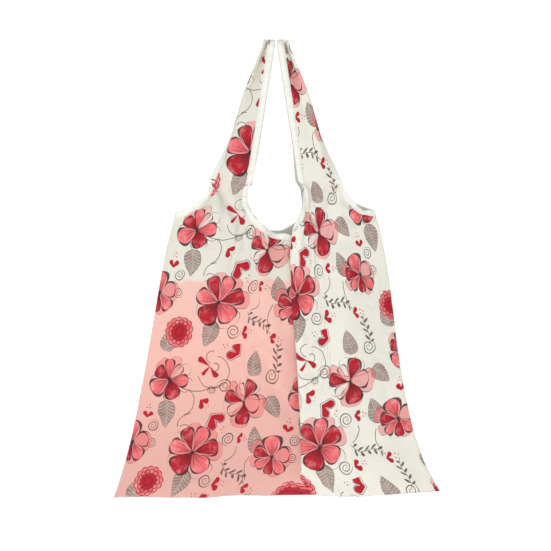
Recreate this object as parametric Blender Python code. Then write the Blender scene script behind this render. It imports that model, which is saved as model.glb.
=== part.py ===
"""Foldable vest-shaped tote bag of printed polyester, hanging by its two handles.

Metres, +Z up. X runs across the bag, and the front faces -Y. The origin is where a hook or a hand
bears, on the inside of the handles' highest point.

Cloth is modelled as a sheet with a body: each piece is a grid of points on its middle surface, made
solid by a Solidify modifier. The front and back panels are ruled grids between the bottom seam and
the top edge. Edge tape is a folded sheet that wraps a panel's or a strap's edge.
"""

import math

import bmesh
import bpy
from mathutils import Vector

# Cloth and tape
CLOTH = 0.0012
TAPE = 0.0007
GAP = 0.0005
TAPE_COVER = 0.0085
INSET = 0.0105
TAPE_SHARE = 0.30

# Outline of the body, as seen from the front
BOTTOM_Z = -0.7140
BOTTOM_RISE = 0.0120
CORNER_Z = -0.2620
HALF_TOP = 0.1600
HALF_BOTTOM = 0.2600
HALF_FLARE = 0.0220
FLARE_POWER = 6
FRONT_NECK_Z = -0.2990
BACK_NECK_Z = -0.2890
NECK_FULLNESS = 0.0370

# Body depth, from the middle plane to a panel
SEAM_DEPTH = 0.0022
BELLY = 0.0330
BELLY_RISE = 0.0750
MOUTH_SHARE = 0.76
MOUTH_FROM = -0.45
MOUTH_TO = -0.25

# Straps, from the fold line at their base to the top of the loop
STRAP_BASE_Z = -0.2150
STRAP_LAP = 0.0170
STRAP_STRAIGHT_Z = -0.1900
STRAP_DEPTH = 0.0312
STRAP_IN = (0.0016, 0.0350)
STRAP_OUT = (0.0146, 0.0980)
LOOP_RADIUS = 0.0128
LOOP_TOP_Z = CLOTH / 2 + GAP + TAPE
SPLIT_DEG = 1.6
PATCH_DEG = 52.0

# Storage pouch that the bag folds into, hung inside from the back neck edge
POUCH_HALF_W = 0.0620
POUCH_H = 0.1120
POUCH_TOP_Z = -0.3170
POUCH_ROOM = 0.0076
FLAP_H = 0.0320
FLAP_OFFSET = 0.0046
TAB_HALF_W = 0.0110
SNAP_BELOW_TOP = 0.0220
SNAP_R = 0.0058
SNAP_SIDES = 16

# Blank care label in the left side seam
LABEL_Z = (-0.565, -0.537)
LABEL_W = 0.0260
LABEL_CLEAR = 0.0095

SEAM_W = 0.0080

ARM_STEPS = 8
BASE_STEPS = 3
NECK_STEPS = 7
BODY_ROWS = 10
BASE_OUT_R = 0.68
BASE_IN_R = 0.42


def clear_scene():
    """Remove every object, so that only this part is left."""
    for obj in list(bpy.data.objects):
        bpy.data.objects.remove(obj, do_unlink=True)


def material(name, colour, roughness, metallic=0.0):
    """A Principled material of one finish."""
    made = bpy.data.materials.new(name)
    made.use_nodes = True
    shader = made.node_tree.nodes["Principled BSDF"]
    shader.inputs["Base Color"].default_value = (*colour, 1.0)
    shader.inputs["Roughness"].default_value = roughness
    shader.inputs["Metallic"].default_value = metallic
    return made


def smooth(low, high, value):
    """0 below low, 1 above high, with a smooth step between."""
    t = min(1.0, max(0.0, (value - low) / (high - low)))
    return t * t * (3 - 2 * t)


def mix(a, b, t):
    return a + (b - a) * t


def bezier(points, t):
    """The point at t on a quadratic or cubic curve with these (x, z) control points."""
    while len(points) > 1:
        points = [(mix(a[0], b[0], t), mix(a[1], b[1], t)) for a, b in zip(points, points[1:])]
    return points[0]


# Shape of the body


def half_width(z):
    """Half the body's width at a height: straight sides that spread, with a flare at the bottom."""
    t = min(1.0, max(0.0, (CORNER_Z - z) / (CORNER_Z - BOTTOM_Z - BOTTOM_RISE)))
    return HALF_TOP + (HALF_BOTTOM - HALF_TOP - HALF_FLARE) * t + HALF_FLARE * t**FLARE_POWER


def bottom_z(x):
    """Height of the bottom seam: lowest in the middle, with its corners drawn up."""
    return BOTTOM_Z + BOTTOM_RISE * (x / HALF_BOTTOM) ** 2


def depth(x, z):
    """Distance from the middle plane to a panel: a soft belly that closes at the sides and bottom."""
    share = min(1.0, abs(x) / half_width(z))
    power = 2.4 + 1.0 * smooth(MOUTH_FROM, MOUTH_TO, z)
    rise = 1 - math.exp(-max(0.0, z - bottom_z(x)) / BELLY_RISE)
    mouth = mix(1.0, MOUTH_SHARE, smooth(MOUTH_FROM, MOUTH_TO, z))
    return SEAM_DEPTH + BELLY * rise * mouth * (1 - share**power)


def on_panel(x, z, side):
    """Point on a panel's middle surface; side is -1 for the front and 1 for the back."""
    return Vector((x, side * depth(x, z), z))


def armhole_edge():
    """(x, z) from the side corner up to the strap's outer base."""
    points = [(HALF_TOP, CORNER_Z), (0.115, -0.2415), (STRAP_OUT[1], STRAP_BASE_Z)]
    return [bezier(points, i / ARM_STEPS) for i in range(ARM_STEPS + 1)]


def neck_edge(neck_z):
    """(x, z) from the strap's inner base down to the middle of the neck."""
    points = [
        (STRAP_IN[1], STRAP_BASE_Z),
        (NECK_FULLNESS, -0.262),
        (NECK_FULLNESS, neck_z),
        (0.0, neck_z),
    ]
    return [bezier(points, i / NECK_STEPS) for i in range(NECK_STEPS + 1)]


def top_edge(neck_z):
    """A panel's whole top edge from left to right: the (x, z) of each point, the (x, z) of the
    same column at the tape's inner side, and its share of the half width at the bottom seam."""
    arm = armhole_edge()
    neck = neck_edge(neck_z)
    half = [(p, mix(1.0, BASE_OUT_R, i / ARM_STEPS)) for i, p in enumerate(arm)]
    for i in range(1, BASE_STEPS):
        t = i / BASE_STEPS
        half.append(((mix(arm[-1][0], neck[0][0], t), STRAP_BASE_Z), mix(BASE_OUT_R, BASE_IN_R, t)))
    half += [(p, mix(BASE_IN_R, 0.0, i / NECK_STEPS)) for i, p in enumerate(neck)]
    whole = [((-x, z), -share) for (x, z), share in half] + list(reversed(half[:-1]))
    columns = []
    for i, ((x, z), share) in enumerate(whole):
        before, after = whole[max(i - 1, 0)][0], whole[min(i + 1, len(whole) - 1)][0]
        if before == (x, z) or after == (x, z):
            low = z - INSET
            inner = (math.copysign(half_width(low), x), low)
        else:
            first = Vector((x - before[0], z - before[1])).normalized()
            second = Vector((after[0] - x, after[1] - z)).normalized()
            along = (first + second).normalized()
            reach = INSET / along.dot(first)
            inner = (x + along.y * reach, z - along.x * reach)
        columns.append(((x, z), inner, share))
    return columns


# Mesh builders


def link(name, mesh, finish):
    """A new object with this mesh and finish, in the scene."""
    mesh.materials.append(finish)
    obj = bpy.data.objects.new(name, mesh)
    bpy.context.scene.collection.objects.link(obj)
    return obj


def grid_mesh(name, rows):
    """One mesh of quads over a grid, given as rows of points."""
    bm = bmesh.new()
    verts = [[bm.verts.new(p) for p in row] for row in rows]
    for lower, upper in zip(verts, verts[1:]):
        for i in range(len(lower) - 1):
            bm.faces.new((lower[i], lower[i + 1], upper[i + 1], upper[i]))
    bmesh.ops.recalc_face_normals(bm, faces=bm.faces)
    mesh = bpy.data.meshes.new(name)
    bm.to_mesh(mesh)
    bm.free()
    return mesh


def cloth(name, rows, thickness, finish):
    """A sheet of cloth or tape with a body: its middle surface, thickened evenly both ways."""
    obj = link(name, grid_mesh(name, rows), finish)
    wall = obj.modifiers.new("wall", "SOLIDIFY")
    wall.thickness = thickness
    wall.offset = 0.0
    wall.use_even_offset = True
    obj.data.shade_smooth()
    obj.data.set_sharp_from_angle(angle=math.radians(35))
    return obj


def fold_tape(stations):
    """Rows of a tape folded round an edge. Each station is a point of the edge, the vector from
    it to the tape's inner side, and the cloth's normal."""
    lift = CLOTH / 2 + GAP + TAPE / 2
    rows = []
    for edge, cover, normal in stations:
        past = cover.normalized() * (GAP + TAPE / 2)
        rise = normal * lift
        rows.append([edge + cover + rise, edge - past + rise, edge - past - rise, edge + cover - rise])
    return rows


# Body pieces


def panel(name, side, neck_z, finish):
    """Front or back panel, cut in one from the bottom seam to the bases of both straps."""
    columns = top_edge(neck_z)
    rows = []
    for j in range(BODY_ROWS + 1):
        t = j / BODY_ROWS
        row = []
        for _, (inner_x, inner_z), share in columns:
            z = mix(bottom_z(share * HALF_BOTTOM), inner_z, t)
            across = mix(share, inner_x / half_width(inner_z), t)
            row.append(on_panel(across * half_width(z), z, side))
        rows.append(row)
    rows.append([on_panel(*edge, side) for edge, _, _ in columns])
    return cloth(name, rows, CLOTH, finish)


def panel_tape(name, columns, side, finish):
    """Tape over the part of a panel's top edge that has these columns."""
    outer = [on_panel(*edge, side) for edge, _, _ in columns]
    inner = [on_panel(*inner, side) for _, inner, _ in columns]
    stations = []
    for i, (point, inward) in enumerate(zip(outer, inner)):
        along = outer[min(i + 1, len(outer) - 1)] - outer[max(i - 1, 0)]
        normal = along.cross(inward - point).normalized()
        stations.append((point, (inward - point) * (TAPE_COVER / INSET), normal))
    return cloth(name, fold_tape(stations), TAPE, finish)


def side_seam(name, hand, finish):
    """Overlocked seam allowance between the panels down one side."""
    steps = 12
    thick = 2 * (SEAM_DEPTH - CLOTH / 2 - GAP)
    rows = []
    for i in range(steps + 1):
        z = mix(CORNER_Z - TAPE_COVER - 0.004, BOTTOM_Z + 0.032, i / steps)
        outer = hand * (half_width(z) - 0.0008)
        rows.append([Vector((outer, 0, z)), Vector((outer - hand * SEAM_W, 0, z))])
    return cloth(name, rows, thick, finish)


def bottom_seam(name, finish):
    """Overlocked seam allowance between the panels along the bottom."""
    steps = 16
    reach = HALF_BOTTOM - 0.012
    thick = 2 * (SEAM_DEPTH - CLOTH / 2 - GAP)
    rows = []
    for i in range(steps + 1):
        x = mix(-reach, reach, i / steps)
        low = bottom_z(x) + 0.0008
        rows.append([Vector((x, 0, low)), Vector((x, 0, low + SEAM_W))])
    return cloth(name, rows, thick, finish)


def care_label(name, finish):
    """Blank folded label that stands in from the left side seam."""
    rows = []
    for z in LABEL_Z:
        outer = -half_width(z) + LABEL_CLEAR
        rows.append([Vector((outer, 0, z)), Vector((outer + LABEL_W, 0, z))])
    return cloth(name, rows, 0.0006, finish)


# Handles


def strap_path(side, split):
    """(y, z, normal) down the middle of one strap, from its lapped end to the top of the loop.
    The arc stops split degrees short of the top."""
    centre_z = LOOP_TOP_Z - LOOP_RADIUS
    stations = []
    heights = [STRAP_BASE_Z - STRAP_LAP, STRAP_BASE_Z, STRAP_STRAIGHT_Z, -0.160, -0.130]
    heights += [-0.100, -0.072, -0.046, -0.028]
    slope = (STRAP_DEPTH - LOOP_RADIUS) / (centre_z - STRAP_STRAIGHT_Z)
    for z in heights:
        straight = z <= STRAP_STRAIGHT_Z
        y = STRAP_DEPTH if straight else LOOP_RADIUS + (centre_z - z) * slope
        normal = Vector((0, side, 0 if straight else slope)).normalized()
        stations.append((side * y, z, normal))
    arc_steps = 5
    for i in range(arc_steps + 1):
        angle = math.radians((90 - split) * i / arc_steps)
        y = math.cos(angle)
        up = math.sin(angle)
        place = (side * LOOP_RADIUS * y, centre_z + LOOP_RADIUS * up)
        stations.append((*place, Vector((0, side * y, up))))
    return stations


def strap_edges(z):
    """Inner and outer x of a strap at a height, before it is given its hand."""
    t = max(0.0, z / STRAP_BASE_Z)
    return mix(*STRAP_IN, t), mix(*STRAP_OUT, t)


def strap(name, hand, side, finish):
    """One strap, from its lap on the panel to the seam at the top of the loop."""
    rows = []
    for y, z, _ in strap_path(side, SPLIT_DEG):
        inner, outer = strap_edges(z)
        rows.append([Vector((hand * mix(inner, outer, t), y, z)) for t in (0, 0.5, 1)])
    return cloth(name, rows, CLOTH, finish)


def loop_path():
    """The whole loop's path, up the front strap and down the back one."""
    front = strap_path(-1, 0.0)
    back = strap_path(1, 0.0)
    return front + list(reversed(back[:-1]))


def strap_tape(name, hand, outer_edge, finish):
    """Tape over one edge of a whole handle loop, front to back."""
    stations = []
    for y, z, normal in loop_path():
        near, far = strap_edges(z)
        if outer_edge:
            near, far = far, near
        cover = math.copysign(min(TAPE_COVER, TAPE_SHARE * abs(far - near)), far - near)
        stations.append((Vector((hand * near, y, z)), Vector((hand * cover, 0, 0)), normal))
    return cloth(name, fold_tape(stations), TAPE, finish)


def handle_seam(name, hand, finish):
    """Lapped and stitched join of the two straps over the top of the loop, between the tapes."""
    inner, outer = STRAP_IN[0], STRAP_OUT[0]
    clear = TAPE_SHARE * (outer - inner) + 2 * GAP
    radius = LOOP_RADIUS + CLOTH + GAP
    centre_z = LOOP_TOP_Z - LOOP_RADIUS
    steps = 8
    rows = []
    for i in range(steps + 1):
        angle = math.radians(mix(-PATCH_DEG, PATCH_DEG, i / steps))
        y, z = radius * math.sin(angle), centre_z + radius * math.cos(angle)
        rows.append([Vector((hand * x, y, z)) for x in (inner + clear, outer - clear)])
    return cloth(name, rows, CLOTH, finish)


def handle(prefix, hand, print_cloth, tape):
    """All the pieces of one handle."""
    strap(f"{prefix}_front_strap", hand, -1, print_cloth)
    strap(f"{prefix}_back_strap", hand, 1, print_cloth)
    handle_seam(f"{prefix}_handle_seam", hand, print_cloth)
    strap_tape(f"{prefix}_handle_neck_tape", hand, False, tape)
    strap_tape(f"{prefix}_handle_armhole_tape", hand, True, tape)


# Storage pouch


def pouch_y():
    """Middle plane of the pouch's back, just inside the tape on the back neck edge."""
    neck = depth(0, BACK_NECK_Z)
    return neck - (CLOTH / 2 + GAP + TAPE) - GAP - TAPE


def plate(name, y, x_half, z_low, z_high, thickness, finish):
    """A flat rectangle of cloth that faces along Y."""
    rows = [[Vector((x, y, z)) for x in (-x_half, 0, x_half)] for z in (z_low, z_high)]
    return cloth(name, rows, thickness, finish)


def cut_hole(obj, y, z, radius):
    """A round hole through a flat piece, along Y."""
    bm = bmesh.new()
    bmesh.ops.create_cone(
        bm, cap_ends=True, segments=SNAP_SIDES, radius1=radius, radius2=radius, depth=0.006
    )
    mesh = bpy.data.meshes.new(f"{obj.name}_cutter")
    bm.to_mesh(mesh)
    bm.free()
    cutter = bpy.data.objects.new(f"{obj.name}_cutter", mesh)
    bpy.context.scene.collection.objects.link(cutter)
    cutter.location = (0, y, z)
    cutter.rotation_euler = (math.radians(90), 0, 0)
    cutter.hide_render = True
    cutter.display_type = "WIRE"
    hole = obj.modifiers.new("hole", "BOOLEAN")
    hole.operation = "DIFFERENCE"
    hole.object = cutter


def turned(name, profile, y, z, finish):
    """A round part turned about Y. The profile is (radius, offset along -Y) from one end of its
    axis round its outside to the other end."""
    bm = bmesh.new()
    rings = []
    for radius, offset in profile:
        if radius == 0:
            rings.append([bm.verts.new((0, y - offset, z))])
            continue
        ring = []
        for k in range(SNAP_SIDES):
            angle = 2 * math.pi * k / SNAP_SIDES
            place = (radius * math.cos(angle), y - offset, z + radius * math.sin(angle))
            ring.append(bm.verts.new(place))
        rings.append(ring)
    for low, high in zip(rings, rings[1:]):
        for k in range(SNAP_SIDES):
            n = (k + 1) % SNAP_SIDES
            corners = [low[k % len(low)], low[n % len(low)], high[n % len(high)], high[k % len(high)]]
            bm.faces.new(list(dict.fromkeys(corners)))
    bmesh.ops.recalc_face_normals(bm, faces=bm.faces)
    mesh = bpy.data.meshes.new(name)
    bm.to_mesh(mesh)
    bm.free()
    obj = link(name, mesh, finish)
    obj.data.shade_smooth()
    obj.data.set_sharp_from_angle(angle=math.radians(35))
    return obj


def pouch_sides(name, y, finish):
    """Tape that joins the pouch's two faces down both sides and along the bottom."""
    low = POUCH_TOP_Z - POUCH_H
    width = 0.0040
    outline = [
        (-POUCH_HALF_W, POUCH_TOP_Z),
        (-POUCH_HALF_W, low),
        (POUCH_HALF_W, low),
        (POUCH_HALF_W, POUCH_TOP_Z),
    ]
    inset = [
        (-POUCH_HALF_W + width, POUCH_TOP_Z),
        (-POUCH_HALF_W + width, low + width),
        (POUCH_HALF_W - width, low + width),
        (POUCH_HALF_W - width, POUCH_TOP_Z),
    ]
    rows = [[Vector((x, y, z)) for x, z in path] for path in (outline, inset)]
    return cloth(name, rows, POUCH_ROOM - CLOTH - 2 * GAP, finish)


def pouch(print_cloth, tape, snap):
    """Pouch, its flap, its press stud and the tab that it hangs from."""
    back_y = pouch_y()
    front_y = back_y - POUCH_ROOM
    flap_y = front_y - FLAP_OFFSET
    low = POUCH_TOP_Z - POUCH_H
    snap_z = POUCH_TOP_Z - SNAP_BELOW_TOP
    tab_top = BACK_NECK_Z - 0.004
    plate("pouch_tab", back_y, TAB_HALF_W, POUCH_TOP_Z + 2 * GAP, tab_top, TAPE, tape)
    plate("pouch_back", back_y, POUCH_HALF_W, low, POUCH_TOP_Z, CLOTH, print_cloth)
    front = plate("pouch_front", front_y, POUCH_HALF_W, low, POUCH_TOP_Z, CLOTH, print_cloth)
    pouch_sides("pouch_side_tape", (back_y + front_y) / 2, tape)
    flap = plate("pouch_flap", flap_y, POUCH_HALF_W, POUCH_TOP_Z - FLAP_H, POUCH_TOP_Z, CLOTH, print_cloth)
    cut_hole(front, front_y, snap_z, 0.0018)
    cut_hole(flap, flap_y, snap_z, 0.0018)
    face = CLOTH / 2 + GAP
    room = FLAP_OFFSET - CLOTH - 2 * GAP
    stud = [
        (0, -face - 0.0004),
        (0.0042, -face - 0.0004),
        (0.0042, -face),
        (0.0014, -face),
        (0.0014, face),
        (0.0038, face),
        (0.0038, face + 0.0004),
        (0.0014, face + 0.0004),
        (0.0014, face + room - 0.0009),
        (0, face + room - 0.0009),
    ]
    inside = -face - 0.0005
    rim = -face - room + 0.0010
    socket = [
        (0, inside),
        (0.0020, inside),
        (0.0020, rim),
        (SNAP_R, rim),
        (SNAP_R, -face),
        (0.0014, -face),
        (0.0014, face),
        (SNAP_R, face),
        (SNAP_R, face + 0.0008),
        (0.0030, face + 0.0014),
        (0, face + 0.0014),
    ]
    turned("snap_stud", stud, front_y, snap_z, snap)
    turned("snap_socket", socket, flap_y, snap_z, snap)


def build():
    """Make every piece of the bag."""
    clear_scene()
    print_cloth = material("printed_cloth", (0.86, 0.82, 0.79), 0.55)
    tape = material("edge_tape", (0.93, 0.92, 0.88), 0.7)
    thread = material("overlock", (0.88, 0.86, 0.82), 0.8)
    label = material("label", (0.92, 0.92, 0.90), 0.6)
    snap = material("snap", (0.85, 0.84, 0.82), 0.35)

    panel("front_panel", -1, FRONT_NECK_Z, print_cloth)
    panel("back_panel", 1, BACK_NECK_Z, print_cloth)
    sides = (("front", -1, FRONT_NECK_Z), ("back", 1, BACK_NECK_Z))
    for face, side, neck_z in sides:
        columns = top_edge(neck_z)
        middle = len(columns) // 2
        panel_tape(f"{face}_neck_tape", columns[middle - NECK_STEPS + 1 : middle + NECK_STEPS], side, tape)
        panel_tape(f"left_{face}_armhole_tape", columns[:ARM_STEPS], side, tape)
        panel_tape(f"right_{face}_armhole_tape", columns[-ARM_STEPS:], side, tape)
    for name, hand in (("left", -1), ("right", 1)):
        side_seam(f"{name}_side_seam", hand, thread)
        handle(name, hand, print_cloth, tape)
    bottom_seam("bottom_seam", thread)
    care_label("care_label", label)
    pouch(print_cloth, tape, snap)


build()
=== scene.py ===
"""Looks of a foldable vest-shaped tote bag of printed polyester, hanging by its two handles.

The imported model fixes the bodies, the sizes and the places. Both panels and their straps are one cut
of cloth each: a flat cut is hung, settled by a cloth simulation, and sewn to its tapes and seams.
Lengths are in metres, +Z is up and the front of the bag faces -Y.
"""

from __future__ import annotations

import logging
import math
from dataclasses import dataclass, field
from enum import Enum
from typing import Sequence

import bmesh
import bpy
import numpy as np
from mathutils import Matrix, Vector

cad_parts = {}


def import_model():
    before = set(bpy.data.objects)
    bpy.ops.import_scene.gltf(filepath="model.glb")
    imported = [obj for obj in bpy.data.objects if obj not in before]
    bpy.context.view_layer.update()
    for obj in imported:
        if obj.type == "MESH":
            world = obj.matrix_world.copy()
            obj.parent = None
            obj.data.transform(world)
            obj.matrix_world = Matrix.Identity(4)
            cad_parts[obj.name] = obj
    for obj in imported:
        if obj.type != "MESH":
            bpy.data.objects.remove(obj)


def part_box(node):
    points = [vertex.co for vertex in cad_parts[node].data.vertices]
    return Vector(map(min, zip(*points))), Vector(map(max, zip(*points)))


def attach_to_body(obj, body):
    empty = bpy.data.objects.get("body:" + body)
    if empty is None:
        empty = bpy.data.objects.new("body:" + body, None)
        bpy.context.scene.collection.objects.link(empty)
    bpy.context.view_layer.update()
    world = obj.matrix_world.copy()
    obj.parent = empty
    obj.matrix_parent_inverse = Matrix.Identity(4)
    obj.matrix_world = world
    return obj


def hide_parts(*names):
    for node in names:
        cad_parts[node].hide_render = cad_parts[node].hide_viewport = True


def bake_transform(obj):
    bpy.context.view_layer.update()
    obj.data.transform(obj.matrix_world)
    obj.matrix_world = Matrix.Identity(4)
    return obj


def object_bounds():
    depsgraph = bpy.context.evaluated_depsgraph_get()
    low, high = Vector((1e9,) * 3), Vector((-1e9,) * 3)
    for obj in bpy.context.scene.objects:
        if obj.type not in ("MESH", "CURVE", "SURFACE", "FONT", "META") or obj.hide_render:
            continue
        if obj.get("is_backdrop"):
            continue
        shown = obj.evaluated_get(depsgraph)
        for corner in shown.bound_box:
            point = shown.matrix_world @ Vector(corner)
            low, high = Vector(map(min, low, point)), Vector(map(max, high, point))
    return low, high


LOG = logging.getLogger("tote_bag")

Array = np.ndarray
Colour = tuple[float, ...]
Material = bpy.types.Material
Piece = bpy.types.Object
Tree = bpy.types.NodeTree


class Face(Enum):
    """Which panel a piece belongs to, with the way that it looks along Y."""

    FRONT = -1
    BACK = 1


class Hand(Enum):
    """Which half of the bag a piece belongs to, with its side along X."""

    LEFT = -1
    RIGHT = 1


# ---------------------------------------------------------------------------------------------
# Numeric helpers


def smooth(low: float, high: float, value: Array | float) -> Array | float:
    """Smooth step: 0 below low, 1 above high, 3t^2 - 2t^3 between.

    Args:
        low: Value where the step begins.
        high: Value where it ends.
        value: Where to read it.

    Returns:
        The step's height at value.
    """
    t = np.clip((np.asarray(value, float) - low) / (high - low), 0.0, 1.0)
    return t * t * (3.0 - 2.0 * t)


def mix(a: Array | float, b: Array | float, t: Array | float) -> Array | float:
    """Straight blend from a at t = 0 to b at t = 1."""
    return a + (b - a) * t


def unit(vectors: Array) -> Array:
    """Vectors along the last axis, each brought to length 1."""
    return vectors / np.maximum(np.linalg.norm(vectors, axis=-1, keepdims=True), 1e-12)


def refine(points: Array, factor: int) -> Array:
    """Smoother grid through the same points, by Catmull-Rom curves along rows and then columns.

    Args:
        points: Array of rows x columns x channels.
        factor: Number of new cells for each old cell, in both directions.

    Returns:
        The refined array.
    """

    def along_first(p: Array) -> Array:
        """The array refined along its first axis, with a mirrored point added past each end."""
        first, last = 2 * p[:1] - p[1:2], 2 * p[-1:] - p[-2:-1]
        q = np.concatenate([first, p, last])
        place = np.linspace(0, len(p) - 1, (len(p) - 1) * factor + 1)
        i = np.minimum(place.astype(int), len(p) - 2)
        t = (place - i)[:, None, None]
        a, b, c, d = q[i], q[i + 1], q[i + 2], q[i + 3]
        square, cube = 2 * a - 5 * b + 4 * c - d, 3 * b - a - 3 * c + d
        return 0.5 * (2 * b + (c - a) * t + square * t**2 + cube * t**3)

    return along_first(along_first(points).swapaxes(0, 1)).swapaxes(0, 1)


def ripple(x: Array, y: Array, seed: int, size: float, octaves: int = 3) -> Array:
    """Smooth noise of unit size: a sum of sine waves in seeded directions, each octave finer.

    Args:
        x: First coordinate, in metres.
        y: Second coordinate, in metres.
        seed: Chooses the directions and phases.
        size: Wavelength of the first octave, in metres.
        octaves: Number of octaves.

    Returns:
        The noise, about -1 to 1.
    """
    rng = np.random.default_rng(seed)
    total = np.zeros(np.broadcast(x, y).shape)
    for octave in range(octaves):
        for _ in range(5):
            angle, phase = rng.uniform(0, 2 * math.pi, 2)
            k = 2 * math.pi * 2**octave / size * rng.uniform(0.7, 1.3)
            total = total + np.sin(k * (x * math.cos(angle) + y * math.sin(angle)) + phase) / 2**octave
    return total / 4.0


def bilinear(table: Array, row: Array, col: Array) -> Array:
    """Straight blends of a grid of values at fractional rows and columns, held at its edges."""
    row, col = np.clip(row, 0, table.shape[0] - 1), np.clip(col, 0, table.shape[1] - 1)
    i, j = np.minimum(row.astype(int), table.shape[0] - 2), np.minimum(col.astype(int), table.shape[1] - 2)
    a, b = (row - i)[..., None], (col - j)[..., None]
    return mix(mix(table[i, j], table[i, j + 1], b), mix(table[i + 1, j], table[i + 1, j + 1], b), a)


def quad_faces(index: Array) -> Array:
    """Quads of a grid of vertex numbers, whose front side is along (column step) x (row step)."""
    return np.stack([index[:-1, :-1], index[:-1, 1:], index[1:, 1:], index[1:, :-1]], axis=-1).reshape(-1, 4)


def distance_along(path: Array) -> Array:
    """Distance from the first point of a path to each of its points."""
    return np.concatenate([[0], np.cumsum(np.linalg.norm(np.diff(path, axis=0), axis=1))])


def limit(vectors: Array, reach: float) -> Array:
    """Vectors shortened smoothly so that none is longer than reach: length times tanh(l / r) r / l."""
    length = np.maximum(np.linalg.norm(vectors, axis=-1, keepdims=True), 1e-9)
    return vectors * (reach * np.tanh(length / reach) / length)


def spread(values: Array, quads: Array, rounds: int) -> Array:
    """Values averaged with their neighbours on a mesh, again and again, to leave the broad part.

    Args:
        values: Array of vertices x channels.
        quads: Vertex numbers of each quad.
        rounds: Number of times each vertex takes half of its neighbours' mean.

    Returns:
        The smoothed values.
    """
    edges = np.concatenate([quads[:, [0, 1]], quads[:, [1, 2]], quads[:, [2, 3]], quads[:, [3, 0]]])
    ends, starts = np.concatenate([edges[:, 0], edges[:, 1]]), np.concatenate([edges[:, 1], edges[:, 0]])
    count = np.bincount(ends, minlength=len(values))[:, None]
    for _ in range(rounds):
        total = [np.bincount(ends, weights=values[starts, k], minlength=len(values)) for k in range(3)]
        values = (values + np.stack(total, axis=-1) / count) / 2
    return values


# ---------------------------------------------------------------------------------------------
# The cut of the cloth and the way it hangs


@dataclass(frozen=True)
class Cut:
    """Flat cut of one panel: u runs across from its middle, v up from its bottom seam."""

    half: float = 0.258
    corner: float = 0.452
    strap_out: float = 0.203
    strap_in: float = 0.137
    shoulder: float = 0.500
    neck: float = 0.411
    strap_top: float = 0.730
    strap_top_width: float = 0.046
    arm_cells: int = 9
    base_cells: int = 16
    neck_cells: int = 22
    rows: int = 72

    def columns(self) -> Array:
        """u of each column of threads, closer together where the neck edge is steep."""
        arm = np.linspace(-self.half, -self.strap_out, self.arm_cells + 1)
        base = np.linspace(-self.strap_out, -self.strap_in, self.base_cells + 1)[1:]
        steps = np.arange(self.neck_cells - 1, -1, -1) / self.neck_cells
        neck = -self.strap_in * np.sin(math.pi / 2 * steps)
        left = np.concatenate([arm, base, neck])
        return np.concatenate([left, -left[:-1][::-1]])

    def top(self, u: Array) -> Array:
        """v of the panel's top edge: armhole curve, strap base, then a rounded neck."""
        a = np.abs(u)
        arm = np.clip((a - self.strap_out) / (self.half - self.strap_out), 0, 1)
        armhole = self.corner + (self.shoulder - self.corner) * (1 - arm) ** 2.2
        q = np.clip(a / self.strap_in, 0, 1)
        scoop = self.neck + (self.shoulder - self.neck) * (1 - np.sqrt(1 - q**4))
        return np.where(a >= self.strap_out, armhole, scoop)

    def body(self) -> Array:
        """(u, v) of the body's grid, from the bottom seam to the top edge."""
        u = self.columns()
        t = np.linspace(0, 1, self.rows + 1)[:, None]
        return np.stack([np.broadcast_to(u, (self.rows + 1, len(u))), t * self.top(u)], axis=-1)

    def base_slice(self, hand: Hand) -> slice:
        """Columns of one strap's base."""
        first = self.arm_cells
        if hand is Hand.RIGHT:
            first = len(self.columns()) - 1 - self.arm_cells - self.base_cells
        return slice(first, first + self.base_cells + 1)


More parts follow.
